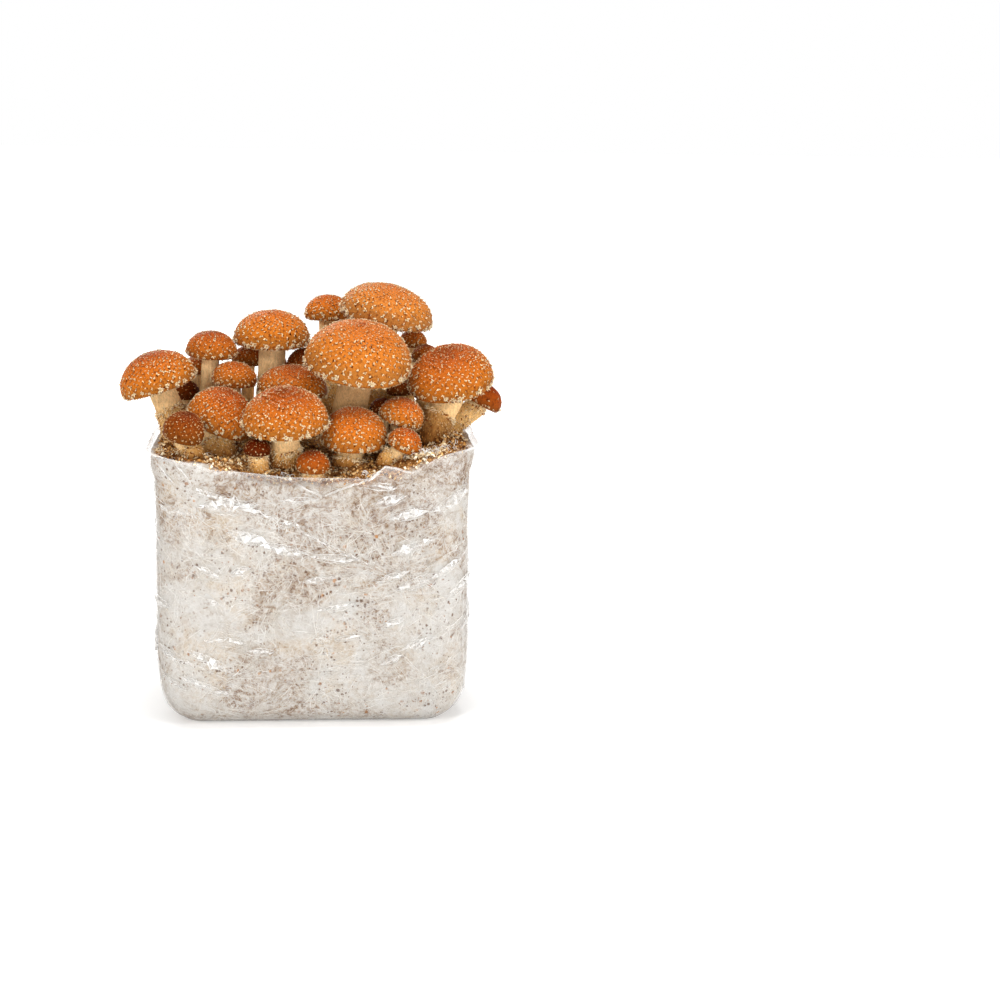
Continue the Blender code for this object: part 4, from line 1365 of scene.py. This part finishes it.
# Rows of the film's mesh follow its creases, which sag between the bag's corners.
FILM_COLUMNS = 288
FILM_ROWS = 184
LIP_ROWS = 12
CREASE_SAG = 17.0
FILM_FOOT = 0.12
# The rim's turned-in edge, row by row: how far it drops, and how far in it goes.
RIM_EDGE = ((-0.1, 0.12), (0.3, 0.25), (1.4, 0.3))
# Pockets where the film stands off the front of the block: middle round the bag and up it, half
# length, half width and slant against the creases.
POCKETS = (
    (-52, 145, 21, 5.0, 0.30), (-40, 125, 15, 4.0, -0.02), (-45, 104, 8, 2.5, 0.5),
    (-66, 104, 8, 2.0, -0.2), (-9, 149, 14, 2.2, 0.05), (42, 158, 12, 2.4, -0.3),
    (48, 149, 11, 3.5, 0.0), (60, 140, 14, 3.5, -0.1), (62, 119, 15, 3.2, 0.05),
    (50, 100, 11, 2.8, 0.05), (65, 96, 15, 3.5, 0.05), (-63, 84, 5, 1.8, 0.0),
    (-56, 58, 14, 3.2, 0.2), (-34, 51, 11, 2.4, 0.2), (-64, 45, 16, 3.0, -0.2),
    (-68, 28, 17, 3.0, -0.1), (16, 80, 15, 2.2, 0.1), (50, 70, 8, 2.2, 0.1),
    (66, 56, 13, 2.6, 0.1), (50, 46, 8, 2.4, 0.2), (-20, 118, 18, 3.2, -0.08),
    (14, 112, 17, 2.8, -0.15), (4, 98, 12, 2.2, 0.1), (22, 60, 9, 1.8, 0.0),
)
MORE_POCKETS = 70
# Folds of the film, near its rim and across its front: both ends (round the bag, up it), half
# width, and how bright their painted highlights are.
RIM_FOLDS = (((-15.6, 163.0), (5, 151.5), 0.5, 0.6), ((5, 151.5), (35, 162.8), 0.5, 0.7),
             ((34, 161.5), (45, 171.0), 0.5, 0.9), ((45, 171.0), (60, 167.3), 0.5, 0.7),
             ((-73, 156), (-40, 145), 1.5, 0.6), ((-44, 145), (-8, 132), 1.3, 0.6),
             ((-10, 131), (34, 108), 0.9, 0.5), ((-86, 174), (-74, 158.5), 0.6, 0.5),
             ((-98, 170), (-86, 158), 0.6, 0.5))
FINE_CREASES = 260


def pockets():
    """The front's pockets and seeded ones on the sides and back, each with how far it rises."""
    made = [(*pocket, rng.uniform(0.7, 1.0)) for pocket in POCKETS]
    for _ in range(MORE_POCKETS):
        around = rng.uniform(84, ROUND - 84)
        length = rng.uniform(6, 19)
        width = length * rng.uniform(0.1, 0.2) + 0.9
        made.append((around, rng.uniform(10, 155), length, width, rng.normal(0, 0.14),
                     rng.uniform(0.4, 1.0)))
    return made


def crease_sag(around):
    """How far below its level a crease has sagged, at distances round the bag."""
    return -CREASE_SAG * np.cos(4 * math.pi * np.asarray(around) / ROUND)


def film_relief(around, height, leaves):
    """How far the film stands out over its pockets at each point of a grid."""
    relief = np.zeros_like(around)
    for middle, level, length, width, slant, rise in leaves:
        away = np.mod(around - middle + ROUND / 2, ROUND) - ROUND / 2
        up = height - level - (crease_sag(around) - crease_sag(middle)) * 0.9
        near = (np.abs(away) < length * 1.2) & (np.abs(up) < length * 1.2)
        a = (away[near] * math.cos(slant) + up[near] * math.sin(slant)) / length
        b = (-away[near] * math.sin(slant) + up[near] * math.cos(slant)) / width
        leaf = np.clip(1 - a * a, 0, None)
        edge = np.abs(b) / np.maximum(leaf, 1e-3)
        inside = (np.abs(a) < 1) & (edge < 1)
        roof = np.where(inside, (1 - edge) * leaf * rise * min(width * 0.3, 0.9), 0)
        relief[near] = np.maximum(relief[near], roof)
    return relief


def crease_lines(flat, squeeze, size, seed):
    """Lines along the creases, 1 on a line and 0 away from it, from noise squeezed round the bag."""
    return np.clip(1 - np.abs(noise_at(flat * (squeeze, squeeze, 1.0), size, seed)) * 2.4, 0, 1) ** 2


def build_film(material):
    """The film from its foot to its turned lip as one sheet, hazy at its lip and painted white as
    highlights along creases, over pockets and on the rim's turned edge.
    """
    mesh = Mesh()
    leaves = pockets()
    around = np.linspace(0, ROUND, FILM_COLUMNS, endpoint=False)
    x, y, nx, ny = outline(around)
    edge, rim = edge_height(x, y), rim_height(x, y)
    sag = crease_sag(around)
    heights = []
    for share in np.linspace(0, 1, FILM_ROWS - LIP_ROWS):
        heights.append(FILM_FOOT + (edge - FILM_FOOT) * share + 4 * share * (1 - share) * sag)
    heights += [edge + (rim - edge) * k / LIP_ROWS for k in range(1, LIP_ROWS + 1)]
    height = np.array(heights)
    grid = np.broadcast_to(around, height.shape)
    relief = film_relief(grid, height, leaves)
    level = height - np.clip(height / 40.0, 0, 1) * crease_sag(grid)
    turn = 2 * math.pi * grid / ROUND
    ring = ROUND / (2 * math.pi)
    flat = np.stack((np.cos(turn) * ring, np.sin(turn) * ring, level), axis=-1).reshape(-1, 3)
    long_creases = crease_lines(flat, 0.30, 6.5, 7).reshape(height.shape)
    short_creases = crease_lines(flat, 0.42, 3.4, 9).reshape(height.shape)
    amount = np.clip(0.5 + noise_at(flat, 30.0, 4).reshape(height.shape), 0, 1)
    lip = np.clip((height - edge) / np.maximum(rim - edge, 1), 0, 1)
    wave = noise_at(flat * (1.0, 1.0, 0.25), 9.0, 5).reshape(height.shape)
    fine = noise_at(flat * (1.0, 1.0, 0.5), 3.2, 6).reshape(height.shape)
    out = relief + amount * (0.55 * long_creases + 0.3 * short_creases)
    out = out + lip * (RIM_FLARE + 1.1 * wave + 0.4 * fine)
    out = np.where(height < 6, out * height / 6, out)
    verts = film_wall(grid, height, out).reshape(-1, 3)
    over = verts[-FILM_COLUMNS:]
    inner_rows = []
    for drop, inside in RIM_EDGE:
        row = over.copy()
        row[:, 0] -= nx * inside
        row[:, 1] -= ny * inside
        row[:, 2] -= drop
        inner_rows.append(row)
    verts = np.concatenate([verts] + inner_rows + [[[0, 0, FILM_FOOT]]])
    rows = FILM_ROWS + len(RIM_EDGE)
    values = np.zeros((len(verts), 3))
    # Painted highlights along the long creases, painted sheen over the pockets, and haze at the lip.
    haze_and_highlight = 0.14 * amount * long_creases ** 3 + 0.15 * lip + 0.13 * np.clip(relief / 0.12, 0, 1)
    haze_and_highlight[-1] = 0.22
    values[: FILM_ROWS * FILM_COLUMNS, 0] = haze_and_highlight.reshape(-1)
    # A painted highlight along the rim's turned edge.
    values[FILM_ROWS * FILM_COLUMNS: (FILM_ROWS + 1) * FILM_COLUMNS, 0] = 0.3
    faces = [grid_faces(rows, FILM_COLUMNS), fan_faces(0, FILM_COLUMNS, len(verts) - 1, flip=True)]
    mesh.add(verts, faces, values)
    film = mesh.build("film_bag_crinkled", [material])
    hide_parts("film_bag")
    build_film_creases(material, leaves)


def add_crease(mesh, around, height, width, proud, haze_and_highlight):
    """A thin raised line on the film, three-sided so that it is closed, painted white to a given degree
    as a highlight.
    """
    heading = np.arctan2(np.gradient(height), np.gradient(around))
    taper = width * np.sin(np.linspace(0.06, 0.94, len(around)) * math.pi)
    side = np.stack((-np.sin(heading) * taper, np.cos(heading) * taper))
    left = film_wall(around + side[0], height + side[1], proud - 0.3)
    right = film_wall(around - side[0], height - side[1], proud - 0.3)
    ridge = film_wall(around, height, proud + 0.12)
    add_ridge(mesh, (left, right, ridge), (haze_and_highlight, 0, 0))


def add_facets(mesh, around, height, width, stand, bright):
    """A crumpled strip of film: thin three-cornered plates from its lower edge to its upper one, each
    painted white at random as a highlight.
    """
    steps = len(around)
    heading = np.arctan2(np.gradient(height), np.gradient(around))
    along, up, out = [], [], []
    for side in (-1, 0, 1):
        shift = width * (side + rng.uniform(-0.35, 0.35, steps))
        along.append(around - np.sin(heading) * shift + rng.uniform(-0.6, 0.6, steps))
        up.append(height + np.cos(heading) * shift)
        out.append(np.full(steps, 0.35) if side else stand + rng.uniform(0, 0.35, steps))
    along, up, out = np.array(along), np.array(up), np.array(out)
    corners = film_wall(along, up, out)
    under = film_wall(along, up, 0.0)
    for row in (0, 1):
        for k in range(steps - 1):
            quad = ((row, k), (row, k + 1), (row + 1, k + 1), (row + 1, k))
            first = rng.integers(0, 2)
            for picks in ((first, first + 1, first + 2), (first + 2, (first + 3) % 4, first)):
                haze_and_highlight = bright * rng.beta(0.55, 1.0)
                if haze_and_highlight < 0.06:
                    continue
                places = [quad[i % 4] for i in picks]
                plate = [corners[p] for p in places]
                plate.append(np.mean([under[p] for p in places], axis=0))
                mesh.add(plate, [PLATE_FACES], (haze_and_highlight, 0, 0))


def build_film_creases(material, leaves):
    """Sharp creases: crumpled facets over the pockets and along the folds, and fine lines all over, all
    painted white as highlights.
    """
    mesh = Mesh()
    for leaf in leaves:
        add_glints(mesh, leaf)
    for (from_around, from_height), (to_around, to_height), width, bright in RIM_FOLDS:
        steps = max(int(math.hypot(to_around - from_around, to_height - from_height) / 2.4), 5)
        share = np.linspace(0, 1, steps)
        around = from_around + (to_around - from_around) * share + rng.normal(0, 0.3, steps)
        height = from_height + (to_height - from_height) * share + rng.normal(0, 0.2, steps)
        add_facets(mesh, around, height, width * rng.uniform(0.3, 1.2, steps), 0.6, bright)
        for side in (-1, 1):
            add_crease(mesh, around, height + side * width, 0.14, 0.4, bright * rng.uniform(0.5, 0.9))
    for _ in range(FINE_CREASES):
        middle, level = rng.uniform(0, ROUND), rng.uniform(8, 156)
        length = rng.uniform(3, 13)
        share = np.linspace(-1, 1, 8)
        around = middle + share * length
        slant = rng.normal(0, 0.25)
        height = level + crease_sag(around) - crease_sag(middle) + share * length * slant
        height = height + rng.normal(0, 0.3, 8)
        x, y, _, _ = outline(around)
        if np.any(height > edge_height(x, y)) or np.any(height < 3):
            continue
        add_crease(mesh, around, height, rng.uniform(0.06, 0.16), 0.25, rng.uniform(0.2, 0.6))
    creases = mesh.build("film_creases_painted_highlights", [material], smooth=False)


def add_glints(mesh, leaf):
    """A pocket's crumpled film: facets over it, and lines round its upper and lower edge."""
    middle, level, length, width, slant, rise = leaf
    steps = max(int(length / 1.5), 5)

    def path(side, first, last, count, wobble):
        a = np.linspace(first, last, count)
        b = width * (side * (1 - a * a) ** 0.8 + rng.normal(0, wobble, count))
        around = middle + a * length * math.cos(slant) - b * math.sin(slant)
        height = level + a * length * math.sin(slant) + b * math.cos(slant)
        return a, around, height + (crease_sag(around) - crease_sag(middle)) * 0.9

    for side in (-0.95, 0.95):
        first, last = rng.uniform(-0.97, -0.2), rng.uniform(0.2, 0.97)
        _, around, height = path(side, first, last, steps * 2, 0.07)
        x, y, _, _ = outline(around)
        if np.all(height < rim_height(x, y) - 1):
            add_crease(mesh, around, height, 0.2, 0.4, rise * rng.uniform(0.45, 0.9))
    a, around, height = path(rng.uniform(-0.3, 0.3), -0.9, 0.9, steps, 0.12)
    x, y, _, _ = outline(around)
    if np.all(height < rim_height(x, y) - width):
        across = width * (1 - a * a) * rng.uniform(0.15, 1.0, steps)
        add_facets(mesh, around, height, across, 0.45 + rise * min(width * 0.3, 0.9), 0.85 * rise)


# Camera, light and floor

CAMERA_DISTANCE = 1.400
CAMERA_ELEVATION = math.radians(12.5)
LENS_PIXELS = 2137.0
PHOTO_PIXELS = 1000
AIM_HEIGHT = 140.0
AIM_PIXEL = (313.0, 492.4)
SENSOR = 36.0


def build_camera():
    target = Vector(np.array([0, 0, AIM_HEIGHT]) + SHIFT) * MM
    forward = Vector((0, math.cos(CAMERA_ELEVATION), -math.sin(CAMERA_ELEVATION)))
    upward = Vector((0, math.sin(CAMERA_ELEVATION), math.cos(CAMERA_ELEVATION)))
    place = target - forward * CAMERA_DISTANCE
    middle = PHOTO_PIXELS / 2
    right = (middle - AIM_PIXEL[0]) / LENS_PIXELS * CAMERA_DISTANCE
    down = (middle - AIM_PIXEL[1]) / LENS_PIXELS * CAMERA_DISTANCE
    aim = (target + Vector((right, 0, 0)) - upward * down - place).normalized()
    top = (upward - aim * upward.dot(aim)).normalized()
    data = bpy.data.cameras.new("camera")
    data.sensor_width = SENSOR
    data.lens = SENSOR * LENS_PIXELS / PHOTO_PIXELS
    data.clip_start, data.clip_end = 0.05, 30.0
    camera = bpy.data.objects.new("camera", data)
    camera.location = place
    camera.rotation_euler = Matrix((aim.cross(top), top, -aim)).transposed().to_euler()
    bpy.context.scene.collection.objects.link(camera)
    bpy.context.scene.camera = camera


def add_light(name, place, aim, size, power, colour=(1, 1, 1)):
    data = bpy.data.lights.new(name, "AREA")
    data.shape = "RECTANGLE"
    data.size, data.size_y = size
    data.energy = power
    data.color = colour
    light = bpy.data.objects.new(name, data)
    light.location = place
    light.rotation_euler = (Vector(aim) - Vector(place)).to_track_quat("-Z", "Y").to_euler()
    bpy.context.scene.collection.objects.link(light)


def build_studio():
    add_light("key_softbox", (-0.80, -1.30, 0.98), (0, 0, 0.16), (0.34, 0.34), 10.5, (1.0, 0.98, 0.95))
    add_light("front_softbox", (0.2, -1.8, 0.32), (0, 0, 0.15), (0.9, 0.4), 9.5)
    add_light("right_softbox", (1.25, -0.75, 0.7), (0, 0, 0.14), (0.35, 0.9), 10.5)
    add_light("left_softbox", (-1.35, -0.25, 0.6), (0, 0, 0.12), (0.35, 0.9), 3.0)
    add_light("top_softbox", (0.1, 0.05, 1.5), (0, 0, 0.2), (0.8, 0.6), 14.0)
    add_light("back_softbox", (-0.5, 1.4, 0.9), (0, 0, 0.15), (0.8, 0.5), 9.0)
    world = bpy.data.worlds.new("studio")
    bpy.context.scene.world = world
    world.use_nodes = True
    tree = world.node_tree
    rays = node(tree, "ShaderNodeLightPath").outputs
    mirrored = product(tree, rays["Is Glossy Ray"], 0.75)
    seen = math_node(tree, "MAXIMUM", rays["Is Camera Ray"], mirrored)
    strength = node(tree, "ShaderNodeMapRange", {"Value": seen, "To Min": 0.25, "To Max": 1.0})
    background = tree.nodes["Background"]
    background.inputs["Color"].default_value = (1, 1, 1, 1)
    tree.links.new(strength.outputs[0], background.inputs["Strength"])
    bpy.context.scene.view_settings.view_transform = "Standard"
    build_floor()


def build_floor():
    """A white table that glows a little more with distance, as a lit backdrop does."""
    material, tree, shader = new_material("floor")
    shader.inputs["Base Color"].default_value = (0.9, 0.9, 0.9, 1)
    shader.inputs["Roughness"].default_value = 0.9
    shader.inputs["Emission Color"].default_value = (1, 1, 1, 1)
    place = object_place(tree)
    distance = node(tree, "ShaderNodeVectorMath", {0: place}, operation="LENGTH").outputs["Value"]
    glow = node(tree, "ShaderNodeMapRange",
                {"Value": distance, "From Min": 0.2, "From Max": 1.6, "To Min": 0.2, "To Max": 0.9})
    tree.links.new(glow.outputs[0], shader.inputs["Emission Strength"])
    data = bpy.data.meshes.new("floor")
    half = 6.0
    data.from_pydata([(-half, -half, 0), (half, -half, 0), (half, half, 0), (-half, half, 0)], [],
                     [(0, 1, 2, 3)])
    data.materials.append(material)
    floor = bpy.data.objects.new("floor", data)
    floor.location.z = -0.0002
    bpy.context.scene.collection.objects.link(floor)


def main():
    build_camera()
    build_studio()
    flakes = flake_material()
    block = block_material()
    surface = build_block([block])
    strand = strand_material()
    build_strands([strand])
    build_crumbs(surface, [crumb_material(), flakes, strand])
    cap_materials = [cap_skin_material(), flakes, gill_material()]
    stem_materials = [stem_material(), flakes]
    for mushroom in MUSHROOMS:
        build_cap(mushroom, cap_materials)
        build_stem(mushroom, surface, stem_materials)
    build_film(film_material())


main()
